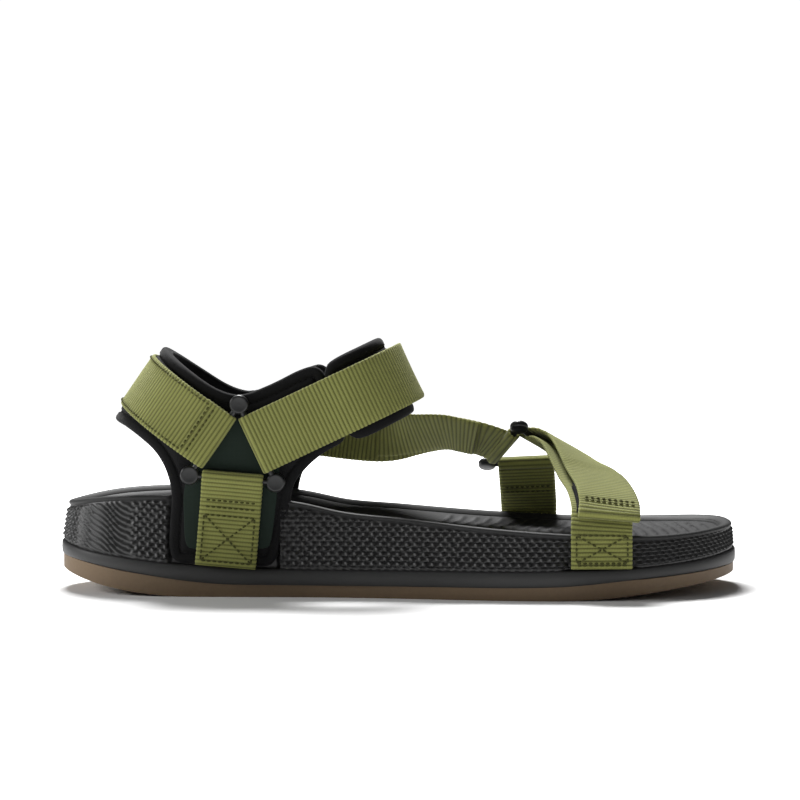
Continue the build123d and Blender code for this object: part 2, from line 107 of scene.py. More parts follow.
MEDIAL_TAG_ROUTE = [
    ((55.6, 39.9, 47.4), (1, -0.07, 0)), ((56.6, 45.6, 38), (1, -0.07, 0)),
    ((57.4, 51, 30), (1, -0.07, 0)), ((57.5, 52.5, 25), (1, -0.07, 0)),
    ((57.5, 52.5, 12.8), (1, -0.07, 0)),
]


# ---- numbers and curves ----
def unit(vectors):
    vectors = np.asarray(vectors, float)
    return vectors / np.linalg.norm(vectors, axis=-1, keepdims=True)


def smoothstep(low, high, value):
    t = np.clip((np.asarray(value, float) - low) / (high - low), 0, 1)
    return t * t * (3 - 2 * t)


def side_line(points):
    """Smooth height over X through the points."""
    x, z = np.array(points, float).T
    slope = np.gradient(z, x)

    def height(at):
        at = np.clip(np.asarray(at, float), x[0], x[-1])
        i = np.clip(np.searchsorted(x, at) - 1, 0, len(x) - 2)
        step = x[i + 1] - x[i]
        t = (at - x[i]) / step
        return ((2 * t**3 - 3 * t**2 + 1) * z[i] + (t**3 - 2 * t**2 + t) * step * slope[i]
                + (3 * t**2 - 2 * t**3) * z[i + 1] + (t**3 - t**2) * step * slope[i + 1])
    return height


def catmull(points, per_span, closed=False):
    """Points on the smooth curve through rows of numbers."""
    points = np.array(points, float)
    if closed:
        padded = np.vstack([points[-1], points, points[:2]])
    else:
        padded = np.vstack([2 * points[0] - points[1], points, 2 * points[-1] - points[-2]])
    t = np.linspace(0, 1, per_span, endpoint=False)[:, None]
    spans = []
    for a, b, c, d in zip(padded, padded[1:], padded[2:], padded[3:]):
        spans.append(0.5 * (2 * b + (c - a) * t + (2 * a - 5 * b + 4 * c - d) * t**2
                            + (3 * b - a - 3 * c + d) * t**3))
    rows = np.vstack(spans)
    return rows if closed else np.vstack([rows, points[-1]])


def lengths(points):
    return np.concatenate([[0], np.cumsum(np.linalg.norm(np.diff(points, axis=0), axis=1))])


def resample(rows, places, at):
    return np.stack([np.interp(at, places, column) for column in np.asarray(rows).T], axis=1)


def outline_ring(count, inset=0.0):
    """Evenly spaced points of the sole's plan outline, moved inwards, and their outward normals."""
    dense = catmull(OUTLINE, 60, closed=True)
    dense = np.vstack([dense, dense[0]])
    places = lengths(dense)
    ring = resample(dense, places, np.linspace(0, places[-1], count, endpoint=False))
    along = unit(np.roll(ring, -1, axis=0) - np.roll(ring, 1, axis=0))
    outward = np.stack([along[:, 1], -along[:, 0]], axis=1)
    return ring - outward * inset, outward, places[-1]


OUTSOLE_HEIGHT = side_line(OUTSOLE_TOP)
LEDGE = side_line(LEDGE_LINE)
RIM = side_line(RIM_LINE)
BED = side_line(BED_LINE)


# ---- shader expressions ----
class Shade:
    """A shader socket. Arithmetic on it adds Math nodes."""

    def __init__(self, tree, socket):
        self.tree = tree
        self.socket = socket

    def math(self, operation, *values):
        return node(self.tree, "ShaderNodeMath", {"operation": operation}, dict(enumerate(values)))

    def __add__(self, other):
        return self.math("ADD", self, other)

    def __sub__(self, other):
        return self.math("SUBTRACT", self, other)

    def __rsub__(self, other):
        return self.math("SUBTRACT", other, self)

    def __mul__(self, other):
        return self.math("MULTIPLY", self, other)

    def __truediv__(self, other):
        return self.math("DIVIDE", self, other)

    def __abs__(self):
        return self.math("ABSOLUTE", self)

    __radd__ = __add__
    __rmul__ = __mul__

    def sin(self):
        return self.math("SINE", self)

    def floor(self):
        return self.math("FLOOR", self)

    def fraction(self):
        return self.math("FRACT", self)

    def clamp(self):
        return self.math("MINIMUM", self.math("MAXIMUM", self, 0.0), 1.0)


def node(tree, kind, settings, sockets, output=0):
    """Adds a node: its settings first, then the values or links of its sockets."""
    made = tree.nodes.new(kind)
    for key, value in settings.items():
        if key == "stops":
            ramp = made.color_ramp.elements
            while len(ramp) < len(value):
                ramp.new(0.5)
            for stop, (place, colour) in zip(ramp, value):
                stop.position = place
                stop.color = (*colour, 1)
        else:
            setattr(made, key, value)
    for key, value in sockets.items():
        if isinstance(value, Shade):
            tree.links.new(value.socket, made.inputs[key])
        else:
            made.inputs[key].default_value = value
    return Shade(tree, made.outputs[output])


def mix(tree, factor, first, second):
    """Blend of two colours."""
    colours = {"Factor": factor, 6: first, 7: second}
    return node(tree, "ShaderNodeMix", {"data_type": "RGBA"}, colours, 2)


def noise(tree, place, scale, detail=3.0):
    return node(tree, "ShaderNodeTexNoise", {}, {"Vector": place, "Scale": scale, "Detail": detail})


def uv_axes(tree):
    """The piece's own length and width directions, in millimetres."""
    place = node(tree, "ShaderNodeUVMap", {"uv_map": "cloth"}, {})
    parts = tree.nodes.new("ShaderNodeSeparateXYZ")
    tree.links.new(place.socket, parts.inputs[0])
    return Shade(tree, parts.outputs[0]) * 1000.0, Shade(tree, parts.outputs[1]) * 1000.0


def place_of(tree):
    return node(tree, "ShaderNodeTexCoord", {}, {}, 3)


def finish_material(name, recipe, constants):
    """A Principled material. recipe gives Base Color, Roughness and the bump's height."""
    made = bpy.data.materials.new(name)
    made.use_nodes = True
    tree = made.node_tree
    shader = tree.nodes["Principled BSDF"]
    colour, roughness, height, depth = recipe(tree)
    for key, value in (("Base Color", colour), ("Roughness", roughness)):
        if isinstance(value, Shade):
            tree.links.new(value.socket, shader.inputs[key])
        else:
            shader.inputs[key].default_value = value
    if height is not None:
        bump = node(tree, "ShaderNodeBump", {}, {"Height": height, "Distance": depth * MM, "Strength": 1.0})
        tree.links.new(bump.socket, shader.inputs["Normal"])
    for key, value in constants.items():
        shader.inputs[key].default_value = value
    return made


def rgba(colour, share=1.0):
    return (colour[0] * share, colour[1] * share, colour[2] * share, 1.0)


def webbing_recipe(colour, pitch, yarn):
    def recipe(tree):
        along, across = uv_axes(tree)
        rib = along / pitch
        odd = rib.floor() * 0.5
        strand = abs((across / yarn + odd).fraction() - 0.5) * 2.0
        crown = abs((rib * math.pi).sin())
        place = place_of(tree)
        patches = noise(tree, place, 55.0, 3.0)
        fibre = noise(tree, place, 2600.0, 2.0)
        # Painted shade: the crown term paints the rib crowns lighter and the grooves between the ribs
        # darker; the fibre and patch noise is random colour variation.
        painted_rib_shade_and_fibre = (crown * 0.75 + (1.0 - strand) * 0.2 + fibre * 0.28 + patches * 0.26 - 0.24).clamp()
        shades = mix(tree, painted_rib_shade_and_fibre, rgba(colour, 0.3), rgba(colour, 1.35))
        return shades, 0.82, (1.0 - strand) * 0.5 + fibre * 0.5, 0.16
    return recipe


def knit_recipe(colour):
    def recipe(tree):
        place = place_of(tree)
        grain = noise(tree, place, 1500.0, 2.0)
        patches = noise(tree, place, 40.0, 3.0)
        shades = mix(tree, (grain * 0.6 + patches * 0.4), rgba(colour, 0.55), rgba(colour, 1.5))
        return shades, 0.88, grain, 0.1
    return recipe


def panel_recipe(colour):
    def recipe(tree):
        along, across = uv_axes(tree)
        weave = abs((along / 0.5).fraction() - 0.5) + abs((across / 0.5).fraction() - 0.5)
        grain = noise(tree, place_of(tree), 900.0, 2.0)
        shades = mix(tree, (weave * 0.7 + grain * 0.3).clamp(), rgba(colour, 0.8), rgba(colour, 1.15))
        return shades, 0.8, weave, 0.06
    return recipe


def moulded_recipe(colour, roughness, grain_scale, depth):
    """Moulded foam or rubber: fine grain, slight wear and uneven sheen."""
    def recipe(tree):
        place = place_of(tree)
        grain = noise(tree, place, grain_scale, 4.0)
        wear = noise(tree, place, 28.0, 4.0)
        shades = mix(tree, (wear * 0.6 + grain * 0.4), rgba(colour, 0.75), rgba(colour, 1.25))
        return shades, (wear * 0.16 + (roughness - 0.08)).clamp(), grain, depth
    return recipe


def fuzz_recipe(colour):
    def recipe(tree):
        tufts = node(tree, "ShaderNodeTexVoronoi", {}, {"Vector": place_of(tree), "Scale": 1300.0})
        shades = mix(tree, tufts.clamp(), rgba(colour, 1.5), rgba(colour, 0.4))
        return shades, 0.95, 1.0 - tufts, 0.3
    return recipe


_materials = {}


def finish(name):
    """The finish of that name, made once from the scene's settings."""
    if name not in _materials:
        scene = bpy.context.scene
        sizes, colours = scene.sandal_sizes, scene.sandal_colours
        pitch, yarn = sizes.rib_pitch / MM, sizes.yarn_pitch / MM
        kinds = {
            "olive_webbing": (webbing_recipe(colours.webbing, pitch, yarn),
                              {"Sheen Weight": 0.12, "Sheen Roughness": 0.5, "Specular IOR Level": 0.3}),
            # The stitching's finish uses the thread colour, which carries painted shade of the stitch
            # holes.
            "olive_thread_and_stitch_shade": (knit_recipe(colours.thread), {"Specular IOR Level": 0.3}),
            "black_thread": (knit_recipe(colours.pad), {"Specular IOR Level": 0.3}),
            "black_neoprene": (knit_recipe(colours.pad),
                               {"Sheen Weight": 0.08, "Sheen Roughness": 0.4, "Specular IOR Level": 0.2}),
            "green_facing": (panel_recipe(colours.facing), {"Specular IOR Level": 0.25}),
            "midsole_foam": (moulded_recipe(colours.band, 0.52, 900.0, 0.03), {"Specular IOR Level": 0.45}),
            "wall_foam": (moulded_recipe(colours.wall, 0.4, 900.0, 0.03), {"Specular IOR Level": 0.55}),
            "footbed_foam": (moulded_recipe(colours.bed, 0.6, 1200.0, 0.06), {"Specular IOR Level": 0.25}),
            "rim_foam": (moulded_recipe(colours.wall, 0.6, 900.0, 0.02), {"Specular IOR Level": 0.32}),
            "brown_rubber": (moulded_recipe(colours.rubber, 0.6, 700.0, 0.05), {"Specular IOR Level": 0.4}),
            "ring_plastic": (moulded_recipe(colours.ring, 0.34, 500.0, 0.015), {"Specular IOR Level": 0.5}),
            "tape": (fuzz_recipe(colours.pad), {"Specular IOR Level": 0.2}),
        }
        recipe, constants = kinds[name]
        _materials[name] = finish_material(name, recipe, constants)
    return _materials[name]


# ---- meshes ----
class Shape:
    """Vertices, faces, cloth directions and finish numbers that grow into one mesh."""

    def __init__(self):
        self.points, self.cloth, self.faces, self.finishes = [], [], [], []
        self.count = 0

    def add(self, points, faces, cloth=None, finish_index=0):
        points = np.asarray(points, float)
        cloth = np.zeros((len(points), 2)) if cloth is None else np.asarray(cloth, float)
        self.points.append(points)
        self.cloth.append(cloth)
        self.faces += [tuple(int(i) + self.count for i in face) for face in faces]
        self.finishes += [finish_index] * len(faces)
        self.count += len(points)

    def add_faces(self, faces):
        """Faces between points that the shape already has."""
        self.faces += faces
        self.finishes += [0] * len(faces)

    def piece(self, name, finishes, slot, sharp=50):
        mesh = bpy.data.meshes.new(name)
        mesh.from_pydata((np.vstack(self.points) * MM).tolist(), [], self.faces)
        cloth = np.vstack(self.cloth) * MM
        layer = mesh.uv_layers.new(name="cloth")
        corners = np.empty(len(mesh.loops), int)
        mesh.loops.foreach_get("vertex_index", corners)
        layer.data.foreach_set("uv", cloth[corners].astype(np.float32).ravel())
        mesh.polygons.foreach_set("material_index", self.finishes)
        mesh.polygons.foreach_set("use_smooth", [True] * len(mesh.polygons))
        mesh.set_sharp_from_angle(angle=math.radians(sharp))
        mesh.update()
        made = bpy.data.objects.new(name, mesh)
        bpy.context.scene.collection.objects.link(made)
        for kind in finishes:
            mesh.materials.append(finish(kind))
        return made


def grid_faces(rows, columns, close_rows=False, close_columns=False):
    """Quads between rows of points, optionally joined round."""
    faces = []
    for i in range(rows if close_rows else rows - 1):
        for j in range(columns if close_columns else columns - 1):
            a, b = i * columns + j, i * columns + (j + 1) % columns
            c, d = ((i + 1) % rows) * columns + (j + 1) % columns, ((i + 1) % rows) * columns + j
            faces.append((a, b, c, d))
    return faces


def closed_grid(rows, columns):
    """Quads between rings of points, with a face over each end."""
    ends = [tuple(range(columns))[::-1], tuple(range((rows - 1) * columns, rows * columns))]
    return grid_faces(rows, columns, close_columns=True) + ends


def together(*values):
    """The values as arrays of one shape."""
    return np.broadcast_arrays(*(np.asarray(value, float) for value in values))


class Strip:
    """A band's middle line with its side and outward directions, evenly resampled."""

    def __init__(self, centre, side, step=0.28):
        places = lengths(centre)
        self.length = places[-1]
        count = max(int(self.length / step), 8)
        self.s = np.linspace(0, self.length, count)
        self.centre = resample(centre, places, self.s)
        along = unit(np.gradient(self.centre, self.s, axis=0))
        side = resample(side, places, self.s)
        side = unit(side - along * np.sum(side * along, axis=1, keepdims=True))
        self.side = side
        self.out = np.cross(side, along)

    def at(self, s, v, h):
        """World points at lengths s, widths v and heights h."""
        s = np.atleast_1d(np.asarray(s, float))
        v = np.broadcast_to(np.asarray(v, float), s.shape)[:, None]
        h = np.broadcast_to(np.asarray(h, float), s.shape)[:, None]
        rows = [resample(part, self.s, s) for part in (self.centre, self.side, self.out)]
        return rows[0] + rows[1] * v + rows[2] * h


def plane_strip(slope, start, heading, moves, step=0.28):
    """Band that follows straight runs and arcs in the plane of an ankle strap."""
    place, angle = np.array(start, float), math.radians(heading)
    points = [place]
    for move in moves:
        if len(move) == 1:
            count = max(int(move[0] / 1.5), 2)
            direction = np.array((math.cos(angle), math.sin(angle)))
            points += [place + direction * move[0] * (i + 1) / count for i in range(count)]
            place = points[-1]
        else:
            radius, turn = move[0], math.radians(move[1])
            side = math.copysign(1, turn)
            centre = place + side * radius * np.array((-math.sin(angle), math.cos(angle)))
            count = max(int(abs(turn) / math.radians(4)), 4)
            for i in range(1, count + 1):
                a = angle + turn * i / count
                points.append(centre - side * radius * np.array((-math.sin(a), math.cos(a))))
            place, angle = points[-1], angle + turn
    centre, side = slope_points(slope, np.array(points))
    return Strip(centre, -side, step)


def slope_axes(slope):
    turn = math.radians(slope)
    return np.array((math.cos(turn), 0, math.sin(turn))), np.array((-math.sin(turn), 0, math.cos(turn)))


def slope_points(slope, points, across=0.0):
    """World points of (u, y) in a strap's plane, and the direction across the strap."""
    along, side = slope_axes(slope)
    origin = np.array((RING_CENTRE[0], MIDDLE_Y, RING_CENTRE[1]))
    world = origin + points[:, :1] * along + points[:, 1:2] * np.array((0, 1, 0))
    world = world + np.atleast_1d(across)[:, None] * side
    return world, np.tile(side, (len(points), 1))


def route_strip(stations, lifts=None, step=0.28, first=0, last=None):
    """Band through stations of a middle and a direction across, lifted off along its outward side."""
    rows = catmull([(*middle, *across) for middle, across in stations], 24)
    centre, side = rows[:, :3], unit(rows[:, 3:])
    if lifts is not None:
        along = unit(np.gradient(centre, axis=0))
        side = unit(side - along * np.sum(side * along, axis=1, keepdims=True))
        lift = np.interp(np.arange(len(rows)), np.arange(len(stations)) * 24, lifts)
        centre = centre + np.cross(side, along) * lift[:, None]
    last = len(rows) if last is None else int(last * 24) + 1
    return Strip(centre[int(first * 24):last], side[int(first * 24):last], step)


def backwards(strip):
    return Strip(strip.centre[::-1], -strip.side[::-1])


def tuck(strip, length, radius, sign=-1):
    """The band with its end folded back under itself."""
    along = unit(strip.centre[-1] - strip.centre[-2])
    out = strip.out[-1] * sign
    end, side = strip.centre[-1], strip.side[-1]
    rows = [end + along * math.sin(a) * radius + out * (1 - math.cos(a)) * radius
            for a in np.linspace(0.25, math.pi, 12)]
    under = strip.centre[strip.s > strip.length - length][::-1] + out * 2 * radius
    centre = np.vstack([strip.centre, rows, under])
    return Strip(centre, np.vstack([strip.side, np.tile(side, (len(rows) + len(under), 1))]))


def webbing(shape, strip, width, thickness, pitch, seed, rib=0.27, curl=0.25, phase=0.0):
    """Ribbed webbing with rounded, scalloped edges along a strip, closed at both ends."""
    half, thick = width / 2, thickness / 2
    edge = thick * 0.9
    core = half - edge
    bends = [(math.cos(math.radians(a)), math.sin(math.radians(a))) for a in np.linspace(-90, 90, 6)[1:-1]]
    flat = np.linspace(-1, 1, 11)
    section = [(v * core, 0, 1) for v in flat]
    section += [(core, edge * beyond, level) for beyond, level in bends[::-1]]
    section += [(v * core, 0, -1) for v in flat[::-1]]
    section += [(-core, -edge * beyond, level) for beyond, level in bends]
    crown = np.abs(np.sin((strip.s + phase) * math.pi / pitch)) ** 0.7
    rng = random.Random(seed)
    waves = sum(np.sin(strip.s * rng.uniform(0.05, 0.16) + rng.uniform(0, 6.28)) for _ in range(3)) / 3
    waves = waves * smoothstep(0, 9, strip.s) * smoothstep(0, 9, strip.length - strip.s)
    base, bulge, up = np.array(section).T
    v = base[None] + bulge[None] * (1 + 0.35 * (crown[:, None] - 0.5))
    height = up[None] * (thick - rib + rib * crown[:, None])
    height = height + curl * waves[:, None] * (base[None] / half) ** 2
    points = (strip.centre[:, None] + strip.side[:, None] * v[..., None]
              + strip.out[:, None] * height[..., None])
    rows, columns = v.shape
    cloth = np.stack([np.broadcast_to(strip.s[:, None] + phase, v.shape), v], axis=-1)
    shape.add(points.reshape(-1, 3), closed_grid(rows, columns), cloth.reshape(-1, 2))


# A stitch from end to end: share of its length, share of its radius, rise in radii.
STITCH_ARCH = ((0, 0.25, -0.6), (0.12, 0.8, 0.2), (0.5, 1, 0.65), (0.88, 0.8, 0.2), (1, 0.25, -0.6))


def capsule(shape, begin, end, out, radius, finish_index):
    """One arched stitch of thread."""
    along = end - begin
    side = unit(np.cross(along, out))
    rows = []
    for t, size, rise in STITCH_ARCH:
        centre = begin + along * t + out * radius * rise
        for k in range(6):
            a = k * math.pi / 3
            rows.append(centre + (side * math.cos(a) + out * math.sin(a)) * radius * size)
    shape.add(rows, [face[::-1] for face in closed_grid(5, 6)], finish_index=finish_index)


def stitch_line(shape, place, line, pitch=2.2, share=0.72, radius=0.42, finish_index=1):
    """Stitches along a line of (s, v); place gives the world points of (s, v, height)."""
    line = np.array(line, float)
    places = lengths(line)
    count = max(int(round(places[-1] / pitch)), 1)
    starts = np.arange(count) * places[-1] / count
    step = places[-1] / count
    first = resample(line, places, starts + step * (1 - share) / 2)
    second = resample(line, places, starts + step * (1 + share) / 2)
    begin, end = place(first[:, 0], first[:, 1], 0.0), place(second[:, 0], second[:, 1], 0.0)
    above = place(first[:, 0], first[:, 1], 1.0)
    for a, b, c in zip(begin, end, above):
        capsule(shape, a, b, unit(c - a), radius, finish_index)


def on_strip(strip, height):
    return lambda s, v, h: strip.at(s, v, height + h)


def box_cross(shape, place, low, high, half):
    """A box of stitches with a cross in it."""
    corners = [(low, -half), (high, -half), (high, half), (low, half), (low, -half)]
    for a, b in zip(corners, corners[1:]):
        stitch_line(shape, place, [a, b])
    stitch_line(shape, place, [(low, -half), (high, half)])
    stitch_line(shape, place, [(high, -half), (low, half)])


def nearest(points, line):
    """Distance of each point to a closed line of points."""
    best = np.full(len(points), np.inf)
    ends = np.roll(line, -1, axis=0)
    for a, b in zip(line, ends):
        d = b - a
        t = np.clip(((points - a) @ d) / max(d @ d, 1e-12), 0, 1)
        best = np.minimum(best, np.linalg.norm(points - (a + t[:, None] * d), axis=1))
    return best


def even_outline(corners, spacing, smooth=True):
    dense = catmull(corners, 16, closed=True) if smooth else np.array(corners, float)
    dense = np.vstack([dense, dense[0]])
    places = lengths(dense)
    count = int(places[-1] / spacing)
    return resample(dense, places, np.linspace(0, places[-1], count, endpoint=False))


def inset_line(line, distance):
    along = unit(np.roll(line, -1, axis=0) - np.roll(line, 1, axis=0))
    normal = np.stack([-along[:, 1], along[:, 0]], axis=1)
    moved = line + normal * distance
    return moved[nearest(moved, line) > distance * 0.93]


def padded_panel(shape, corners, place, thickness, edge, channel=None, spacing=2.0, crown=0.0):
    """Soft panel with rounded edges and a sewn channel; place maps (u, v, h) to world points."""
    line = even_outline(corners, 1.3)
    if np.sum(line[:, 0] * np.roll(line[:, 1], -1) - np.roll(line[:, 0], -1) * line[:, 1]) < 0:
        line = line[::-1]
    depths = [edge * f for f in (0.06, 0.2, 0.42, 0.7, 1.0)]
    if channel:
        depths += [channel + f for f in (-1.0, -0.5, 0.0, 0.5, 1.0)]
    rings = [inset_line(line, depth) for depth in depths]
    low, high = line.min(axis=0), line.max(axis=0)
    us, vs = np.arange(low[0], high[0], spacing), np.arange(low[1], high[1], spacing)
    grid = np.stack(np.meshgrid(us, vs), axis=-1).reshape(-1, 2)
    grid[:, 0] += np.where(np.round((grid[:, 1] - low[1]) / spacing) % 2 == 1, spacing / 2, 0)
    inside = winding(grid, line)
    grid = grid[inside]
    grid = grid[nearest(grid, line) > max(depths) + spacing * 0.45]
    points = np.vstack([line] + rings + [grid])
    count = len(line)
    edges = [(i, (i + 1) % count) for i in range(count)]
    flat, _, faces, _, _, _ = delaunay_2d_cdt([Vector(p) for p in points], edges, [], 1, 1e-6)
    flat = np.array([tuple(p) for p in flat])
    away = nearest(flat, line)
    share = np.clip(away / edge, 0, 1)
    half = thickness / 2 * np.clip(1 - (1 - share) ** 2.6, 0, 1) ** 0.42
    half = half + crown * smoothstep(0, 14, away)
    if channel:
        half = half * (1 - 0.42 * np.exp(-((away - channel) / 0.62) ** 2))
    on_edge = away < 1e-3
    front = place(flat[:, 0], flat[:, 1], half)
    back = place(flat[:, 0], flat[:, 1], -half)
    number = np.arange(len(flat)) + len(flat)
    number[on_edge] = np.arange(len(flat))[on_edge]
    keep = np.zeros(2 * len(flat), bool)
    keep[:len(flat)] = True
    keep[number] = True
    new = np.cumsum(keep) - 1
    both = np.vstack([front, back])[keep]
    cloth = np.vstack([flat, flat])[keep]
    made = [tuple(new[i] for i in face) for face in faces]
    made += [tuple(new[number[i]] for i in face[::-1]) for face in faces]
    shape.add(both, made, cloth)
    return line


def winding(points, line):
    """Which points lie inside a closed line."""
    inside = np.zeros(len(points), bool)
    ends = np.roll(line, -1, axis=0)
    x, y = points.T
    for (ax, ay), (bx, by) in zip(line, ends):
        if ay == by:
            continue
        crosses = ((ay > y) != (by > y)) & (x < (bx - ax) * (y - ay) / (by - ay) + ax)
        inside ^= crosses
    return inside


def lathe(shape, centre, axis, profile, count=40):
    """Closed turned form: profile is (radius, height along the axis), from pole to pole."""
    axis = unit(np.array(axis, float))
    side = unit(np.cross(axis, (0.3, 0.5, 0.81)))
    other = np.cross(axis, side)
    turns = np.linspace(0, 2 * math.pi, count, endpoint=False)
    around = np.cos(turns)[:, None] * side + np.sin(turns)[:, None] * other
    rows = [np.array(centre) + around * radius + axis * height for radius, height in profile]
    shape.add(np.vstack(rows), closed_grid(len(profile), count))


def tube(shape, begin, end, radius):
    begin, end = np.array(begin, float), np.array(end, float)
    reach = float(np.linalg.norm(end - begin))
    lathe(shape, begin, end - begin, [(radius, reach * i / 8) for i in range(9)], count=24)


def ring_shape(corners, facing):
    """Moulded triangular ring: three flat lobes with a soft rim, joined by round bars."""
    shape = Shape()
    corners = [np.array(corner, float) for corner in corners]
    normal = unit(np.cross(corners[1] - corners[0], corners[2] - corners[0]))
    if normal @ np.array(facing, float) < 0:
        normal = -normal
    profile = [(LOBE_RADIUS - inset, level) for inset, level in (
        (3.5, -1.45), (0.8, -1.45), (0.25, -1.1), (0, -0.5), (0, 0.5), (0.2, 1.05), (0.55, 1.38),
        (0.9, 1.45), (1.3, 1.38), (3.5, 1.38))]
    for i, corner in enumerate(corners):
        lathe(shape, corner, normal, profile)
        following = corners[(i + 1) % 3]
        along = unit(following - corner)
        tube(shape, corner + along * 2.6, following - along * 2.6, BAR_RADIUS)
    return shape


def mirrored(points):
    points = np.array(points, float)
    points[:, 1] = 2 * MIDDLE_Y - points[:, 1]
    return points


def mirror_shape(shape):
    """The same shape on the other side of the ankle."""
    other = Shape()
    other.points = [mirrored(points) for points in shape.points]
    other.cloth = list(shape.cloth)
    other.faces = [face[::-1] for face in shape.faces]
    other.finishes = list(shape.finishes)
    other.count = shape.count
    return other


# ---- sole ----
def banded(profile, count):
    """Rings of the plan outline: profile is (inset, height over X)."""
    rows = []
    for inset, height in profile:
        ring, _, _ = outline_ring(count, inset)
        rows.append(np.column_stack([ring, height(ring[:, 0])]))
    return rows


def raised(line, lift):
    return lambda x: line(x) + lift


def lip_line(x):
    """Lower edge of the midsole, which hangs over the outsole along the waist."""
    return OUTSOLE_HEIGHT(x) - 1.3 * smoothstep(-115, -70, x) * (1 - smoothstep(60, 100, x))


def band_line(x):
    """Where the midsole stands out furthest."""
    return OUTSOLE_HEIGHT(x) * 0.55 + LEDGE(x) * 0.45


def make_midsole():
    shape = Shape()
    count = 720
    profile = [
        (4.0, raised(OUTSOLE_HEIGHT, 0.25)), (1.2, raised(OUTSOLE_HEIGHT, 0.25)),
        (0.74, raised(lip_line, 0.2)), (0.4, raised(lip_line, 0.3)),
        (0.1, raised(lip_line, 0.9)), (0.0, band_line),
        (0.1, raised(LEDGE, -1.0)), (0.5, raised(LEDGE, -0.3)), (1.1, raised(LEDGE, -0.02)),
        (3.6, LEDGE), (6.0, LEDGE),
    ]
    rows = banded(profile, count)
    shape.add(np.vstack(rows), grid_faces(len(rows), count, close_columns=True))
    for row, turn in ((0, 1), (len(rows) - 1, -1)):
        start = row * count
        cap = []
        for i in range(1, count // 2):
            a, b = start + i, start + (i + 1) % count
            c, d = start + (count - i - 1) % count, start + count - i
            quad = (a, b, c, d) if len({a, b, c, d}) == 4 else (a, b, d)
            cap.append(quad[::-turn])
        cap.append((start, start + 1, start + count - 1)[::-turn])
        shape.add_faces(cap)
    piece = shape.piece("midsole_band", ["midsole_foam"], "black_foam")
    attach(piece, "sandal")
    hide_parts("midsole")


def scales(along, up, x, height):
    """Moulded scales on the footbed's wall: how far out each point stands."""
    front = smoothstep(55, 110, x)
    row_pitch = 1.95 - 0.5 * front
    row = up / row_pitch
    column = along / 3.5 + 0.5 * (np.floor(row) % 2)
    across = np.abs(np.mod(column, 1.0) - 0.5) * 2
    level = np.mod(row, 1.0)
    lens = np.clip(1.15 - across**1.5 * 1.5, 0, 1)
    slant = np.clip(level / 0.16, 0, 1) * np.clip((1 - level) / 0.84, 0, 1) ** 0.8
    scale = lens * slant * (1.55 - 0.45 * front)
    heel = smoothstep(-135, -133.5, x) * (1 - smoothstep(-114, -104, x))
    slope = (up * 1.35 + along * 0.7 + 0.9 * np.sin(along * 0.45)) / 3.1
    wavy = np.clip(1.2 * (1 - np.mod(slope, 1.0)), 0, 1) * np.clip(np.mod(slope, 1.0) / 0.2, 0, 1)
    relief = scale * (1 - heel) + wavy * heel
    return relief * smoothstep(0.2, 1.4, up) * smoothstep(0.3, 1.6, height - up)


def toe_room(x):
    """How much nearer the edge the wall's top comes at the toe."""
    return 1.3 * smoothstep(95, 130, x)


def tag_room(x, y):
    """Where the front tags lie against the wall."""
    lateral = smoothstep(63, 67, x) * (1 - smoothstep(93, 97, x)) * (y < 0)
    middle = smoothstep(41, 45, x) * (1 - smoothstep(70, 74, x)) * (y > 0)
    return lateral + middle


def leg_recess(x, y):
    """How far the wall steps in where the collar's legs lie against it."""
    inside = smoothstep(-94.5, -92.5, x) * (1 - smoothstep(-50, -48, x))
    return inside * np.clip(np.abs(y - MIDDLE_Y) - 32.1, 0, 5)


def raise_toe(points):
    """Lifts the footbed's inner edge at the toe, most at its top."""
    x, y, z = points.T
    share = np.clip((z - LEDGE(x)) / (RIM(x) - LEDGE(x)), 0, 1)
    lift = 1.1 * smoothstep(80, 112, x) * smoothstep(0, 34, y) * share
    return np.column_stack([x, y, z + lift])


WALL_DEPTH = 6.5           # outline to the wall's inner face
BED_DEPTH = 5.0            # thickness of the footbed's top


def make_footbed_wall():
    shape = Shape()
    count, levels = 1180, 58
    ring, outward, girth = outline_ring(count)
    x, y = ring[:, 0], ring[:, 1]
    foot = 0.9 + 2.1 * tag_room(x, y)
    t = np.linspace(0, 1, levels)[:, None]
    lean = foot + (3.0 - toe_room(x) - foot) * t
    along = np.arange(count) * girth / count
    low, high = LEDGE(x) - 0.3, RIM(x) - 1.5
    z = low + (high - low) * t
    up, height = z - low, high - low
    relief = scales(along[None], up, x[None], height[None])
    flat = ring[None] - outward[None] * (lean + 0.45)[..., None]
    recess = leg_recess(flat[..., 0], flat[..., 1])
    relief = relief * (1 - np.clip(recess, 0, 1))
    flat = flat + outward[None] * (relief - recess)[..., None]
    points = np.concatenate([flat, z[..., None]], axis=-1)
    faces = grid_faces(levels, count, close_columns=True)
    inner = [np.column_stack([ring - outward * WALL_DEPTH, level]) for level in (high, low)]
    shape.add(raise_toe(np.vstack([points.reshape(-1, 3)] + inner)), faces)
    top, base = levels * count, (levels + 1) * count
    ring_faces = []
    for i in range(count):
        j = (i + 1) % count
        ring_faces.append(((levels - 1) * count + i, (levels - 1) * count + j, top + j, top + i))
        ring_faces.append((top + i, top + j, base + j, base + i))
        ring_faces.append((base + i, base + j, j, i))
    shape.add_faces(ring_faces)
    piece = shape.piece("footbed_wall", ["wall_foam"], "footbed_foam", sharp=70)
    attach(piece, "sandal")
    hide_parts("footbed")


def bed_height(x, away):
    """Height of the footbed inside its rim, by the distance from the outline."""
    fall = 1 - smoothstep(7.0, 21.0, away)
    return BED(x) + (RIM(x) - 2.2 - BED(x)) * fall ** 1.5


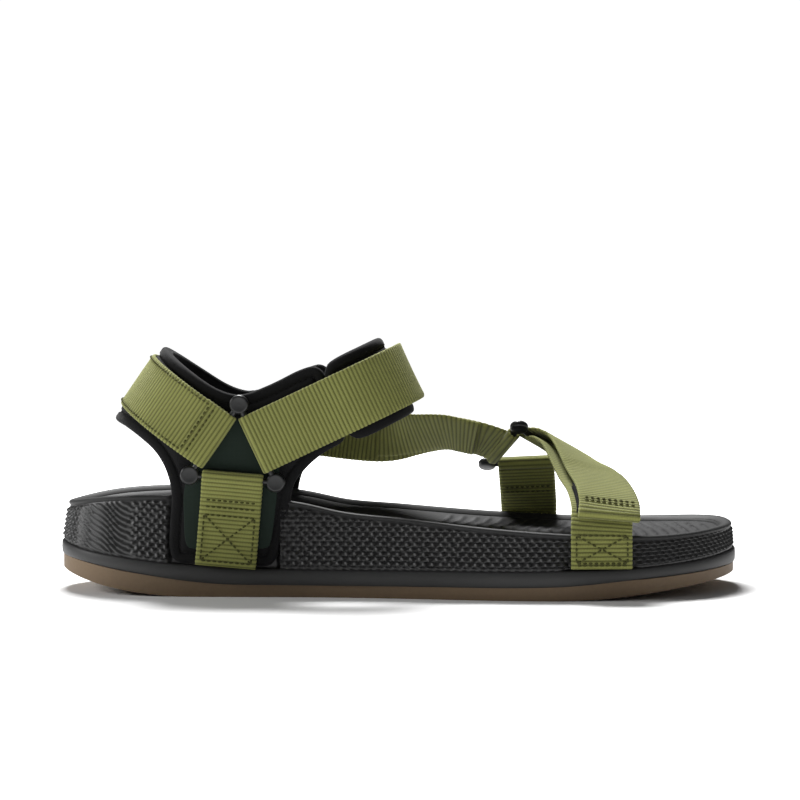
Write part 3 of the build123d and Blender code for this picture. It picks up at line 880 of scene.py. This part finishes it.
def bed_grooves(x, y, away):
    """Moulded lines across the toe and the ball."""
    toe_curve = x + 0.0045 * (y - 6) ** 2
    toe = smoothstep(96, 99, toe_curve) * (1 - smoothstep(129, 131, toe_curve))
    lines = np.exp(-((np.mod(toe_curve - 101, 4.4) - 2.2) / 0.62) ** 2) * toe
    ball_curve = x - 0.006 * (y - 2) ** 2
    ball = smoothstep(12, 16, ball_curve) * (1 - smoothstep(70, 74, ball_curve))
    lines = lines + np.exp(-((np.mod(ball_curve - 14, 5.2) - 2.6) / 0.7) ** 2) * ball * 0.8
    return lines * smoothstep(9.5, 12.5, away) * 0.8


def make_footbed_top():
    shape = Shape()
    count = 900
    profile = [(7.4, 6.0), (4.6, 4.2), (3.25, 1.75), (2.95, 1.4), (2.85, 0.95), (3.05, 0.45), (3.6, 0.1),
               (4.5, 0.0), (5.4, 0.2), (6.2, 0.75), (7.0, 1.6), (7.8, 2.6), (7.8, 5.0)]
    rows = []
    for inset, drop in profile:
        ring, outward, _ = outline_ring(count)
        room = toe_room(ring[:, 0]) * (1 - smoothstep(3.2, 7.8, inset)) if inset < 7 else 0
        ring = ring - outward * np.reshape(inset - room, (-1, 1))
        recess = leg_recess(ring[:, 0], ring[:, 1])[:, None] * (1 if inset < 7 else 0)
        ring = ring - outward * recess
        rows.append(np.column_stack([ring, RIM(ring[:, 0]) - drop]))
    shape.add(raise_toe(np.vstack(rows)), grid_faces(len(rows), count, close_rows=True, close_columns=True),
              finish_index=1)
    edge, _, _ = outline_ring(count, 7.0)
    outer, _, _ = outline_ring(count, 0.0)
    half = count // 2
    lower, upper = edge[:half + 1], np.vstack([edge[half:], edge[:1]])
    lower = lower[np.argsort(lower[:, 0])]
    upper = upper[np.argsort(upper[:, 0])]
    xs = np.concatenate([-134.4 + 2.2 * (1 - np.cos(np.linspace(0, math.pi / 2, 8)))[:-1],
                         np.arange(-132.2, 132.6, 0.72),
                         132.6 + 2.0 * np.sin(np.linspace(0, math.pi / 2, 8))[1:]])
    t = np.linspace(-1, 1, 71)
    y_low, y_high = np.interp(xs, lower[:, 0], lower[:, 1]), np.interp(xs, upper[:, 0], upper[:, 1])
    y = (y_low + y_high)[:, None] / 2 + (y_high - y_low)[:, None] / 2 * t[None]
    x = np.broadcast_to(xs[:, None], y.shape)
    flat = np.stack([x, y], axis=-1).reshape(-1, 2)
    away = nearest(flat, outer[::2])
    z = bed_height(flat[:, 0], away) + bed_grooves(flat[:, 0], flat[:, 1], away)
    top = raise_toe(np.column_stack([flat, z]))
    under = np.column_stack([flat, z - BED_DEPTH])
    rows, columns = y.shape
    size = rows * columns
    faces = [face[::-1] for face in grid_faces(rows, columns)]
    border = [i * columns for i in range(rows)] + [(rows - 1) * columns + j for j in range(1, columns)]
    border += [i * columns + columns - 1 for i in range(rows - 2, -1, -1)] + list(range(columns - 2, 0, -1))
    low_faces = [tuple(i + size for i in face) for face in grid_faces(rows, columns)]
    sides = [(a + size, b + size, b, a) for a, b in zip(border, border[1:] + border[:1])]
    shape.add(np.vstack([top, under]), faces + low_faces + sides)
    piece = shape.piece("footbed_top", ["footbed_foam", "rim_foam"], "footbed_foam", sharp=60)
    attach(piece, "sandal")
    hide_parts("footbed")


def dress_outsole():
    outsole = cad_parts["outsole"]
    outsole.data.materials.clear()
    outsole.data.materials.append(finish("brown_rubber"))


# ---- rings ----
def ankle_lobes():
    lobes = []
    for turn in (RING_TURN, RING_TURN + 120, RING_TURN + 240):
        a = math.radians(turn)
        lobes.append((RING_CENTRE[0] + RING_RADIUS * math.cos(a), MIDDLE_Y - RING_PLANE,
                      RING_CENTRE[1] + RING_RADIUS * math.sin(a)))
    return lobes


def front_lobes():
    up = unit(np.array(FRONT_UP))
    forward = np.array(FRONT_FORWARD)
    forward = unit(forward - up * (forward @ up))
    return [np.array(FRONT_CENTRE) + RING_RADIUS * (forward * math.cos(a) + up * math.sin(a))
            for a in np.radians((90, 210, 330))]


def make_rings():
    lateral = ring_shape(ankle_lobes(), (0, -1, 0))
    front = ring_shape(front_lobes(), (0, -0.5, 0.8))
    for name, shape, target in (("lateral_ring_moulding", lateral, "lateral_ring"),
                                ("medial_ring_moulding", mirror_shape(lateral), "medial_ring"),
                                ("front_ring_moulding", front, "front_ring")):
        piece = shape.piece(name, ["ring_plastic"], "black_ring", sharp=40)
        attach(piece, "sandal")
        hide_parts(target)


# ---- collar ----
COLLAR_RADIUS = 36.0
COLLAR_STRAIGHT = 11.0
COLLAR_MIDDLE = COLLAR_STRAIGHT + COLLAR_RADIUS * math.pi / 2
COLLAR_REACH = 37.9        # how far the heel's curve goes back
COLLAR_HALF_WIDTH = 33.7
FACING_DEPTH = 35.72       # middle plane to the middle of a facing
SEAM_RADIUS = 0.2          # thread sunk in the pads' channel


def unrolled(points):
    """Side-view points of the collar in its own length and width directions."""
    along, side = slope_axes(HEEL_SLOPE)
    flat = np.array(points, float) - np.array(RING_CENTRE)
    return np.column_stack([flat @ along[[0, 2]], flat @ side[[0, 2]]])


def collar_place(s, a, h):
    """Unrolled collar points to the world: flat sides and a half round heel."""
    s, a, h = together(s, a, h)
    turn = np.clip((s - COLLAR_STRAIGHT) / COLLAR_RADIUS, 0, math.pi)
    beyond = np.clip(s - (2 * COLLAR_MIDDLE - COLLAR_STRAIGHT), 0, None)
    h = h * (1 + 0.4 * np.sin(turn))
    u = np.where(s < COLLAR_STRAIGHT, s, COLLAR_STRAIGHT) - beyond + COLLAR_REACH * np.sin(turn)
    y = -COLLAR_HALF_WIDTH * np.cos(turn) * (1 + 0.06 * np.sin(turn) ** 2)
    out_u, out_y = np.sin(turn), -np.cos(turn)
    world, _ = slope_points(HEEL_SLOPE, np.column_stack([u + out_u * h, y + out_y * h]), a)
    return world


COLLAR_SIDE = [
    (-67, 81.6), (-61, 82.3), (-54.5, 84.8), (-48.6, 87.5), (-42.4, 90.7), (-37.5, 92.6), (-34.6, 93),
    (-31.8, 91.6), (-29.8, 88.4), (-26.6, 80), (-23.2, 69), (-22.4, 64.2), (-24.6, 61.6), (-29, 59.2),
    (-34.5, 55.2), (-39, 50.7), (-42.2, 46.6), (-43.8, 41.4), (-44.7, 35.4), (-46.5, 27.4), (-48.3, 19.8),
    (-50.1, 15.4), (-52.6, 12.6), (-58, 12.2), (-70, 12.9), (-83, 13.4), (-88.6, 13.6), (-91.8, 15.4),
    (-93.2, 20), (-93, 28), (-92.2, 39), (-92.8, 46), (-95, 52.6),
]


def make_collar():
    side = unrolled(COLLAR_SIDE)
    half = [(22.5, -17.0), (36, -16.8), (52, -17.2)]
    lower = [(27.2, 18.0), (36, 17.3), (48, 17.8)]
    lateral = half[::-1] + [tuple(p) for p in side] + lower
    other = [(2 * COLLAR_MIDDLE - s, a) for s, a in lateral[::-1]]
    corners = lateral + [(COLLAR_MIDDLE, 19.6)] + other + [(COLLAR_MIDDLE, -17.6)]
    shape = Shape()
    line = padded_panel(shape, corners, collar_place, 3.5, 1.7, channel=4.3, crown=0.35)
    seam = inset_line(line, 4.3)
    gaps = np.linalg.norm(np.diff(seam, axis=0), axis=1)
    for run in np.split(seam, np.nonzero(gaps > 6)[0] + 1):
        if len(run) > 3:
            stitch_line(shape, lambda s, v, h: collar_place(s, v, 1.15 + h), run, radius=SEAM_RADIUS)
    piece = shape.piece("collar_neoprene", ["black_neoprene", "black_thread"], "black_neoprene")
    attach(piece, "sandal")
    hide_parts("heel_pad", "lateral_quarter", "medial_quarter")


FACING_SIDE = [(-86.4, 22), (-87.1, 32), (-86.8, 44), (-82, 58), (-72, 68), (-63, 72), (-55, 66),
               (-49, 54), (-49.6, 42), (-50.9, 30), (-52.2, 22.4), (-55, 19.6), (-70, 19.2), (-83, 19.4)]


def make_facings():
    def place(x, z, h):
        x, z, h = together(x, z, h)
        return np.column_stack([x, MIDDLE_Y - FACING_DEPTH - h, z])

    shape = Shape()
    padded_panel(shape, FACING_SIDE, place, 0.7, 0.35)
    for name, made, target in (("lateral_facing", shape, "lateral_quarter_facing"),
                               ("medial_facing", mirror_shape(shape), "medial_quarter_facing")):
        piece = made.piece(name, ["green_facing"], "green_facing")
        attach(piece, "sandal")
        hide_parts(target)


def instep_moves(offset, turn_back):
    flat = 2 * (RING_PLANE - WRAP - CORNER_RADIUS)
    return [(CORNER_U - BAR,), (CORNER_RADIUS + offset, 90), (flat,), (CORNER_RADIUS + offset, turn_back)]


def make_ankle_pad():
    inwards = 0.75 + 0.35 + 2.25
    start = (CORNER_U - 6, -(RING_PLANE - WRAP - inwards))
    moves = [(6,)] + instep_moves(-inwards, 90)[1:] + [(2,)]
    strip = plane_strip(ANKLE_SLOPE, start, 0, moves)
    long, low, high = strip.length, -16.2, 17.6
    corners = [(7.4, low), (2.6, low + 2.2), (1.2, low + 7), (1.6, 0), (2.6, high - 7), (4.4, high - 2.2),
               (9, high), (24, high + 0.4), (long / 2, high + 0.4), (long - 24, high), (long - 7, high),
               (long - 3, high - 3), (long - 1.2, high - 9), (long - 1.2, 0), (long - 1.2, low + 9),
               (long - 3, low + 3),
               (long - 8, low), (long - 24, low), (long / 2, low), (24, low)]
    shape = Shape()

    def place(s, v, h):
        s, v, h = together(s, v, h)
        return strip.at(s, -v, h)

    line = padded_panel(shape, corners, place, 4.5, 2.2, channel=4.6, crown=0.3)
    stitch_line(shape, lambda s, v, h: place(s, v, 1.6 + h), inset_line(line, 4.6), radius=SEAM_RADIUS)
    piece = shape.piece("ankle_pad_neoprene", ["black_neoprene", "black_thread"], "black_neoprene")
    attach(piece, "sandal")
    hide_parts("ankle_pad")


# ---- straps ----
THREAD_LIFT = 0.05         # stitches above the webbing's face
FOREFOOT_SLIDE = 2.4       # how far the forefoot flap lies to the rear


def strap_piece(shape, name, target):
    piece = shape.piece(name, ["olive_webbing", "olive_thread_and_stitch_shade"], "olive_webbing")
    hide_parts(target)
    return piece


def make_heel_strap(width, thickness, pitch):
    reach = RING_PLANE + WRAP
    inner = RING_PLANE - WRAP
    moves = [(11.5,), (WRAP, 180), (1.0,), (reach, 180), (1.0,), (WRAP, 180), (11.5,)]
    strip = plane_strip(HEEL_SLOPE, (BAR + 11.5, -inner), 180, moves)
    shape = Shape()
    webbing(shape, strip, width, thickness, pitch, seed=11)
    fold = 11.5 + math.pi * WRAP
    inset = width / 2 - 1.9
    for start, sign in ((fold, 1), (strip.length - fold, -1)):
        for distance in (6.8, 9.2):
            s = start + sign * distance
            stitch_line(shape, on_strip(strip, thickness / 2 + THREAD_LIFT), [(s, -inset), (s, inset)])
    edge = width / 2 - 1.5
    for v in (-edge, edge):
        line = [(fold + 9.2, v), (strip.length - fold - 9.2, v)]
        stitch_line(shape, on_strip(strip, thickness / 2), line, pitch=2.0)
    piece = strap_piece(shape, "heel_strap_webbing", "heel_strap")
    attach(piece, "sandal")


def make_rear_tags(width, thickness, pitch):
    length = (RING_CENTRE[1] - 12.9) / math.cos(math.radians(5)) - BAR
    inner = RING_PLANE - WRAP
    moves = [(length,), (WRAP, 197), (7.2,), (9, -17), (length - 9.6,)]
    strip = plane_strip(TAG_SLOPE, (BAR + length, -inner), 180, moves)
    shape = Shape()
    webbing(shape, strip, width, thickness, pitch, seed=23)
    end = strip.length
    on = on_strip(strip, thickness / 2 + THREAD_LIFT)
    inset = width / 2 - 2.0
    for s in (length + math.pi * WRAP + 9.4, length + math.pi * WRAP + 12.2):
        stitch_line(shape, on, [(s, -inset), (s, inset)])
    box_cross(shape, on, end - 20.5, end - 2.0, inset)
    for name, made, target in (("lateral_rear_tag_webbing", shape, "lateral_rear_tag"),
                               ("medial_rear_tag_webbing", mirror_shape(shape), "medial_rear_tag")):
        piece = strap_piece(made, name, target)
        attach(piece, "sandal")


def make_ankle_strap(width, thickness, pitch):
    moves = [(WRAP, -40)] + instep_moves(0, 90) + [(CORNER_U - BAR,), (WRAP, 180), (22,)]
    turn = math.radians(130)
    start = (BAR + WRAP * math.cos(turn), -RING_PLANE + WRAP * math.sin(turn))
    strip = plane_strip(ANKLE_SLOPE, start, 40, moves)
    shape = Shape()
    webbing(shape, strip, width, thickness, pitch, seed=31)
    inset = width / 2 - 1.9
    end = strip.length
    box_cross(shape, on_strip(strip, thickness / 2 + THREAD_LIFT), end - 20, end - 3, inset)
    piece = strap_piece(shape, "ankle_strap_webbing", "ankle_strap")
    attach(piece, "sandal")


def ankle_world(u, y):
    return tuple(slope_points(ANKLE_SLOPE, np.array([(u, y)]))[0][0] * MM)


def make_ankle_flap(width, thickness, pitch):
    outer = RING_PLANE + WRAP
    turn = math.radians(132)
    start = (BAR + WRAP * math.cos(turn), -RING_PLANE + WRAP * math.sin(turn))
    root = plane_strip(ANKLE_SLOPE, start, 222, [(WRAP, 138), (SPLIT_U - BAR,)])
    shape = Shape()
    webbing(shape, root, width, thickness, pitch, seed=41)
    piece = strap_piece(shape, "ankle_flap_root_webbing", "ankle_flap_root")
    ankle_world(BAR, -RING_PLANE + 1.65)
    ankle_world(BAR, -RING_PLANE - 1.3)
    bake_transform(piece)
    moves = [(CORNER_U - SPLIT_U,)] + instep_moves(2 * WRAP, 20)[1:]
    tip = plane_strip(ANKLE_SLOPE, (SPLIT_U, -outer), 0, moves)
    shape = Shape()
    webbing(shape, tip, width, thickness, pitch, seed=43, phase=root.length)
    stitch_line(shape, on_strip(tip, thickness / 2 + THREAD_LIFT),
                [(tip.length - 2, -width / 2 + 2), (tip.length - 2, width / 2 - 2)])
    piece = strap_piece(shape, "ankle_flap_tip_webbing", "ankle_flap_tip")
    ankle_world(SPLIT_U, -outer)
    ankle_world(SPLIT_U + 9, -outer)
    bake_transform(piece)


def make_forefoot_strap(width, thickness, pitch):
    strip = route_strip(FOREFOOT_ROUTE)
    shape = Shape()
    webbing(shape, strip, width, thickness, pitch, seed=53)
    on = on_strip(strip, thickness / 2 + THREAD_LIFT)
    inset = width / 2 - 2.0
    stitch_line(shape, on, [(1.6, -inset), (1.6, inset)])
    box_cross(shape, on, 2.4, 13.2, inset)
    piece = strap_piece(shape, "forefoot_strap_webbing", "forefoot_strap")
    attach(piece, "sandal")


def make_forefoot_flap(width, thickness, pitch):
    lobes = front_lobes()
    bar = (lobes[0] + lobes[2]) / 2
    lifts = [3.9] * 10 + [2 * WRAP]
    upper = route_strip(FOREFOOT_ROUTE, lifts, first=6)
    along = unit(upper.centre[-1] - upper.centre[-4])
    out, side = upper.out[-1], upper.side[-1]
    wrap = [bar - out * math.cos(b) * WRAP + along * math.sin(b) * WRAP
            for b in np.radians(range(62, 176, 8))]
    slide = FOREFOOT_SLIDE * smoothstep(2, 14, upper.length - upper.s)[:, None] * upper.side
    centre = np.vstack([wrap, (upper.centre + slide)[::-1]])
    sides = -np.vstack([np.tile(side, (len(wrap), 1)), upper.side[::-1]])
    root = Strip(centre, sides)
    shape = Shape()
    webbing(shape, root, width, thickness, pitch, seed=61)
    piece = strap_piece(shape, "forefoot_flap_root_webbing", "forefoot_flap_root")
    first, last = bar + along * 1.9 - out * 1.0, bar + out * 1.3
    tuple(first * MM)
    tuple(last * MM)
    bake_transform(piece)
    lifts = [4.9] * 4 + [4.2] + [3.9] * 5 + [4.3]
    lower = route_strip(FOREFOOT_ROUTE, lifts, first=2.85, last=6)
    lower.centre = lower.centre + FOREFOOT_SLIDE * lower.side
    tip = backwards(lower)
    hem = tuck(tip, 8.5, 0.95)
    shape = Shape()
    webbing(shape, hem, width, thickness, pitch, seed=67, phase=root.length)
    inset = width / 2 - 1.8
    for distance in (6.2, 8.4):
        s = tip.length - distance
        stitch_line(shape, on_strip(hem, thickness / 2 + THREAD_LIFT), [(s, -inset), (s, inset)])
    piece = strap_piece(shape, "forefoot_flap_tip_webbing", "forefoot_flap_tip")
    begin, end = tip.centre[0], tip.at(9.0, 0, 0)[0]
    tuple(begin * MM)
    tuple(end * MM)
    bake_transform(piece)


def sleeve(shape, begin, end, width, thickness, pitch):
    """Webbing that goes right round one bar of the front ring."""
    middle, along = (begin + end) / 2, unit(end - begin)
    first = unit(np.cross(along, (0.2, 0.3, 0.9)))
    second = np.cross(along, first)
    turns = np.linspace(0, 2 * math.pi, 60)
    centre = middle + WRAP * (np.cos(turns)[:, None] * first + np.sin(turns)[:, None] * second)
    band = Strip(centre, np.tile(along, (len(turns), 1)))
    webbing(shape, band, width, thickness, pitch, seed=7, rib=0.1, curl=0)


def make_front_straps(width, thickness, pitch):
    top, rear, fore = front_lobes()
    strip = route_strip(MEDIAL_TAG_ROUTE)
    shape = Shape()
    sleeve(shape, rear, fore, width, thickness, pitch)
    webbing(shape, strip, width, 2 * thickness, pitch, seed=71, curl=0.15)
    inset = width / 2 - 2.0
    for height in (thickness + 0.05, -thickness - 0.05):
        on = (lambda level: lambda s, v, h: strip.at(s, v, level + h * math.copysign(1, level)))(height)
        stitch_line(shape, on, [(9, -inset), (9, inset)])
        stitch_line(shape, on, [(11.5, -inset), (11.5, inset)])
        box_cross(shape, on, strip.length - 14, strip.length - 2, inset)
    piece = strap_piece(shape, "medial_front_tag_webbing", "medial_front_tag")
    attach(piece, "sandal")
    strip = route_strip(CONNECTOR_ROUTE)
    shape = Shape()
    sleeve(shape, top, rear, width, thickness, pitch)
    webbing(shape, strip, width, thickness, pitch, seed=83)
    doubled = slice(34, int(len(strip.centre) * 0.62))
    rise = 1.7 + 1.5 * smoothstep(4, 30, strip.s[doubled])[:, None]
    behind = 1.75 * strip.out[doubled] + rise * strip.side[doubled]
    second = Strip(strip.centre[doubled] + behind, strip.side[doubled])
    webbing(shape, second, width, thickness, pitch, seed=89)
    on = lambda s, v, h: strip.at(s, v, -thickness / 2 - 0.05 - h)
    for s in (14, 15.6, 17.2):
        stitch_line(shape, on, [(s, -inset), (s, inset)], pitch=1.9)
    piece = strap_piece(shape, "connector_strap_webbing", "connector_strap")
    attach(piece, "sandal")


TAPE = (20.6, 0.85, 0.9)   # width, thickness and rib pitch


def make_tapes():
    for level, name, node_name in ((1.3, "ankle_loop_pile", "ankle_loop_tape"),
                                   (2 * WRAP - 1.3, "ankle_hook_pile", "ankle_hook_tape")):
        start = (CORNER_U + CORNER_RADIUS + level, -(RING_PLANE - WRAP - CORNER_RADIUS))
        strip = plane_strip(ANKLE_SLOPE, start, 90, instep_moves(level, 17)[2:], 0.6)
        tape_piece(strip, name, node_name, "ankle_flap_end" if "hook" in name else "sandal")
    for level, name, node_name in ((1.3, "forefoot_loop_pile", "forefoot_loop_tape"),
                                   (2.6, "forefoot_hook_pile", "forefoot_hook_tape")):
        strip = route_strip(FOREFOOT_ROUTE, [level] * 11, 0.6, first=3.2, last=5)
        tape_piece(strip, name, node_name, "forefoot_flap_end" if "hook" in name else "sandal")


def tape_piece(strip, name, target, body):
    shape = Shape()
    webbing(shape, strip, *TAPE, seed=97, rib=0.12, curl=0)
    piece = shape.piece(name, ["tape"], "black_tape")
    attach(piece, body)
    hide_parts(target)


# ---- stage ----
# The stage's lengths are in metres. A light: name, place, target, size and power.
LIGHTS = (("key_light", (-0.12, 0.5, 1.0), (0, 0, 0.03), (0.5, 0.35), 25.0),
          ("left_light", (-1.15, -0.22, 0.55), (0, 0, 0.05), (0.4, 0.4), 6.5))
FLOOR_REACH = 40.0
FLOOR_WHITE = (0.93, 0.93, 0.93, 1)
# Painted light: the floor glows from GLOW_START outwards and fully at GLOW_FULL, so the far floor reads
# white while the shadow near the sandal stays dark.
GLOW_START, GLOW_FULL = 0.22, 0.7
SKY_STRENGTH = 1.05        # of the white that the camera sees behind the floor
CAMERA_PLACE = (0, -0.870, 0.1036)
CAMERA_DIP = 1.66          # degrees below level
CAMERA_LENS, SENSOR_WIDTH = 93.18, 36.0


def look_at(thing, target):
    direction = Vector(target) - thing.location
    thing.rotation_euler = direction.to_track_quat("-Z", "Y").to_euler()


def soft_light(name, place, target, size, power):
    light = bpy.data.lights.new(name, "AREA")
    light.shape = "RECTANGLE"
    light.size, light.size_y = size
    light.energy = power
    made = bpy.data.objects.new(name, light)
    made.location = place
    bpy.context.scene.collection.objects.link(made)
    look_at(made, target)


def make_stage():
    scene = bpy.context.scene
    mesh = bpy.data.meshes.new("studio_floor")
    corners = [(x * FLOOR_REACH, y * FLOOR_REACH, 0) for x, y in ((-1, -1), (1, -1), (1, 1), (-1, 1))]
    mesh.from_pydata(corners, [], [(0, 1, 2, 3)])
    floor = bpy.data.objects.new("studio_floor", mesh)
    scene.collection.objects.link(floor)
    paint = bpy.data.materials.new("studio_white")
    paint.use_nodes = True
    shader = paint.node_tree.nodes["Principled BSDF"]
    shader.inputs["Base Color"].default_value = FLOOR_WHITE
    shader.inputs["Roughness"].default_value = 0.9
    shader.inputs["Specular IOR Level"].default_value = 0.0
    tree = paint.node_tree
    # Painted light: the floor's emission grows with its distance from the sandal.
    reached = node(tree, "ShaderNodeVectorMath", {"operation": "LENGTH"}, {0: place_of(tree)}, 1)
    glow = node(tree, "ShaderNodeMapRange", {"interpolation_type": "SMOOTHSTEP"},
                {"Value": reached, "From Min": GLOW_START, "From Max": GLOW_FULL})
    shade = mix(tree, glow, (0, 0, 0, 1), (1, 1, 1, 1))
    tree.links.new(shade.socket, shader.inputs["Emission Color"])
    shader.inputs["Emission Strength"].default_value = 1.0
    mesh.materials.append(paint)
    world = bpy.data.worlds.new("studio_world")
    world.use_nodes = True
    back = world.node_tree.nodes["Background"]
    back.inputs["Color"].default_value = (1, 1, 1, 1)
    seen = node(world.node_tree, "ShaderNodeLightPath", {}, {})
    fill = scene.sandal_sizes.fill_light
    world.node_tree.links.new((seen * (SKY_STRENGTH - fill) + fill).socket, back.inputs["Strength"])
    scene.world = world
    scene.view_settings.view_transform = "Standard"
    for light in LIGHTS:
        soft_light(*light)
    camera = bpy.data.cameras.new("studio_camera")
    camera.sensor_width = SENSOR_WIDTH
    camera.lens = CAMERA_LENS
    made = bpy.data.objects.new("studio_camera", camera)
    made.location = CAMERA_PLACE
    made.rotation_euler = (math.radians(90 - CAMERA_DIP), 0, 0)
    scene.collection.objects.link(made)
    scene.camera = made


# ---- settings and operators ----
class SandalSizes(bpy.types.PropertyGroup):
    """Sizes that a user would change."""
    webbing_width: FloatProperty(name="Webbing width", description="Width of every strap", default=0.0244,
                                 min=0.02, max=0.026, unit="LENGTH")
    webbing_thickness: FloatProperty(name="Webbing thickness", description="One layer of webbing",
                                     default=0.0015, min=0.001, max=0.002, unit="LENGTH")
    rib_pitch: FloatProperty(name="Rib pitch", description="Distance between the ribs of the webbing",
                             default=0.00168, min=0.001, max=0.003, unit="LENGTH")
    yarn_pitch: FloatProperty(name="Yarn pitch", description="Distance between the yarns of a rib",
                              default=0.00062, min=0.0003, max=0.002, unit="LENGTH")
    fill_light: FloatProperty(name="Fill light", description="Strength of the white surroundings",
                              default=0.085, min=0.0, max=5.0)


def colour_property(name, description, default):
    return FloatVectorProperty(name=name, description=description, subtype="COLOR", size=3, default=default,
                               min=0, max=1)


class SandalColours(bpy.types.PropertyGroup):
    """Base colours of the finishes."""
    webbing: colour_property("Webbing", "Olive webbing", (0.215, 0.225, 0.062))
    # Painted shade: the thread is painted much darker than the webbing, whose colour the real thread
    # shares, to stand for the shadow in the stitch holes.
    thread: colour_property("Thread", "Stitching on the webbing", (0.075, 0.077, 0.022))
    pad: colour_property("Pads", "Black neoprene", (0.0065, 0.0065, 0.007))
    facing: colour_property("Facing", "Dark green panel", (0.012, 0.022, 0.016))
    band: colour_property("Midsole", "Smooth band", (0.027, 0.027, 0.027))
    wall: colour_property("Footbed wall", "Moulded wall", (0.02, 0.02, 0.02))
    bed: colour_property("Footbed", "Under the foot", (0.016, 0.016, 0.0165))
    rubber: colour_property("Outsole", "Brown rubber", (0.17, 0.115, 0.065))
    ring: colour_property("Rings", "Moulded plastic", (0.008, 0.0085, 0.0085))


def webbing_sizes(context):
    sizes = context.scene.sandal_sizes
    return sizes.webbing_width / MM, sizes.webbing_thickness / MM, sizes.rib_pitch / MM


class SANDAL_OT_stage(bpy.types.Operator):
    """Floor, lights and camera"""
    bl_idname = "sandal.stage"
    bl_label = "Stage"

    def execute(self, context):
        make_stage()
        return {"FINISHED"}


class SANDAL_OT_outsole(bpy.types.Operator):
    """Brown rubber on the outsole"""
    bl_idname = "sandal.outsole"
    bl_label = "Outsole"

    def execute(self, context):
        dress_outsole()
        return {"FINISHED"}


class SANDAL_OT_midsole(bpy.types.Operator):
    """Smooth band between outsole and footbed"""
    bl_idname = "sandal.midsole"
    bl_label = "Midsole"

    def execute(self, context):
        make_midsole()
        return {"FINISHED"}


class SANDAL_OT_footbed(bpy.types.Operator):
    """Footbed with its moulded wall, rim and dished top"""
    bl_idname = "sandal.footbed"
    bl_label = "Footbed"

    def execute(self, context):
        make_footbed_wall()
        make_footbed_top()
        return {"FINISHED"}


class SANDAL_OT_rings(bpy.types.Operator):
    """The three triangular rings"""
    bl_idname = "sandal.rings"
    bl_label = "Rings"

    def execute(self, context):
        make_rings()
        return {"FINISHED"}


class SANDAL_OT_collar(bpy.types.Operator):
    """Padded collar and its side panels"""
    bl_idname = "sandal.collar"
    bl_label = "Collar"

    def execute(self, context):
        make_collar()
        make_facings()
        return {"FINISHED"}


class SANDAL_OT_ankle_pad(bpy.types.Operator):
    """Pad under the instep strap"""
    bl_idname = "sandal.ankle_pad"
    bl_label = "Ankle pad"

    def execute(self, context):
        make_ankle_pad()
        return {"FINISHED"}


class SANDAL_OT_heel_straps(bpy.types.Operator):
    """Heel strap and rear tags"""
    bl_idname = "sandal.heel_straps"
    bl_label = "Heel straps"

    def execute(self, context):
        make_heel_strap(*webbing_sizes(context))
        make_rear_tags(*webbing_sizes(context))
        return {"FINISHED"}


class SANDAL_OT_instep_straps(bpy.types.Operator):
    """Instep strap and its flap"""
    bl_idname = "sandal.instep_straps"
    bl_label = "Instep straps"

    def execute(self, context):
        make_ankle_strap(*webbing_sizes(context))
        make_ankle_flap(*webbing_sizes(context))
        return {"FINISHED"}


class SANDAL_OT_forefoot_straps(bpy.types.Operator):
    """Forefoot strap, its flap and the straps of the front ring"""
    bl_idname = "sandal.forefoot_straps"
    bl_label = "Forefoot straps"

    def execute(self, context):
        make_forefoot_strap(*webbing_sizes(context))
        make_forefoot_flap(*webbing_sizes(context))
        make_front_straps(*webbing_sizes(context))
        return {"FINISHED"}


class SANDAL_OT_tapes(bpy.types.Operator):
    """Hook and loop tapes of both flaps"""
    bl_idname = "sandal.tapes"
    bl_label = "Tapes"

    def execute(self, context):
        make_tapes()
        return {"FINISHED"}


OPERATORS = (SANDAL_OT_stage, SANDAL_OT_outsole, SANDAL_OT_midsole, SANDAL_OT_footbed, SANDAL_OT_rings,
             SANDAL_OT_collar, SANDAL_OT_ankle_pad, SANDAL_OT_heel_straps, SANDAL_OT_instep_straps,
             SANDAL_OT_forefoot_straps, SANDAL_OT_tapes)


class SANDAL_PT_panel(bpy.types.Panel):
    """Settings and steps of the sandal"""
    bl_label = "Sandal"
    bl_space_type = "VIEW_3D"
    bl_region_type = "UI"
    bl_category = "Sandal"

    def draw(self, context):
        for group in (context.scene.sandal_sizes, context.scene.sandal_colours):
            for name in group.__annotations__:
                self.layout.prop(group, name)
        for operator in OPERATORS:
            self.layout.operator(operator.bl_idname)


CLASSES = (SandalSizes, SandalColours, *OPERATORS, SANDAL_PT_panel)


def register():
    for made in CLASSES:
        bpy.utils.register_class(made)
    bpy.types.Scene.sandal_sizes = PointerProperty(type=SandalSizes)
    bpy.types.Scene.sandal_colours = PointerProperty(type=SandalColours)


def unregister():
    del bpy.types.Scene.sandal_sizes
    del bpy.types.Scene.sandal_colours
    for made in reversed(CLASSES):
        bpy.utils.unregister_class(made)


def main():
    register()
    for operator in OPERATORS:
        group, name = operator.bl_idname.split(".")
        getattr(getattr(bpy.ops, group), name)()


if __name__ == "__main__":
    main()
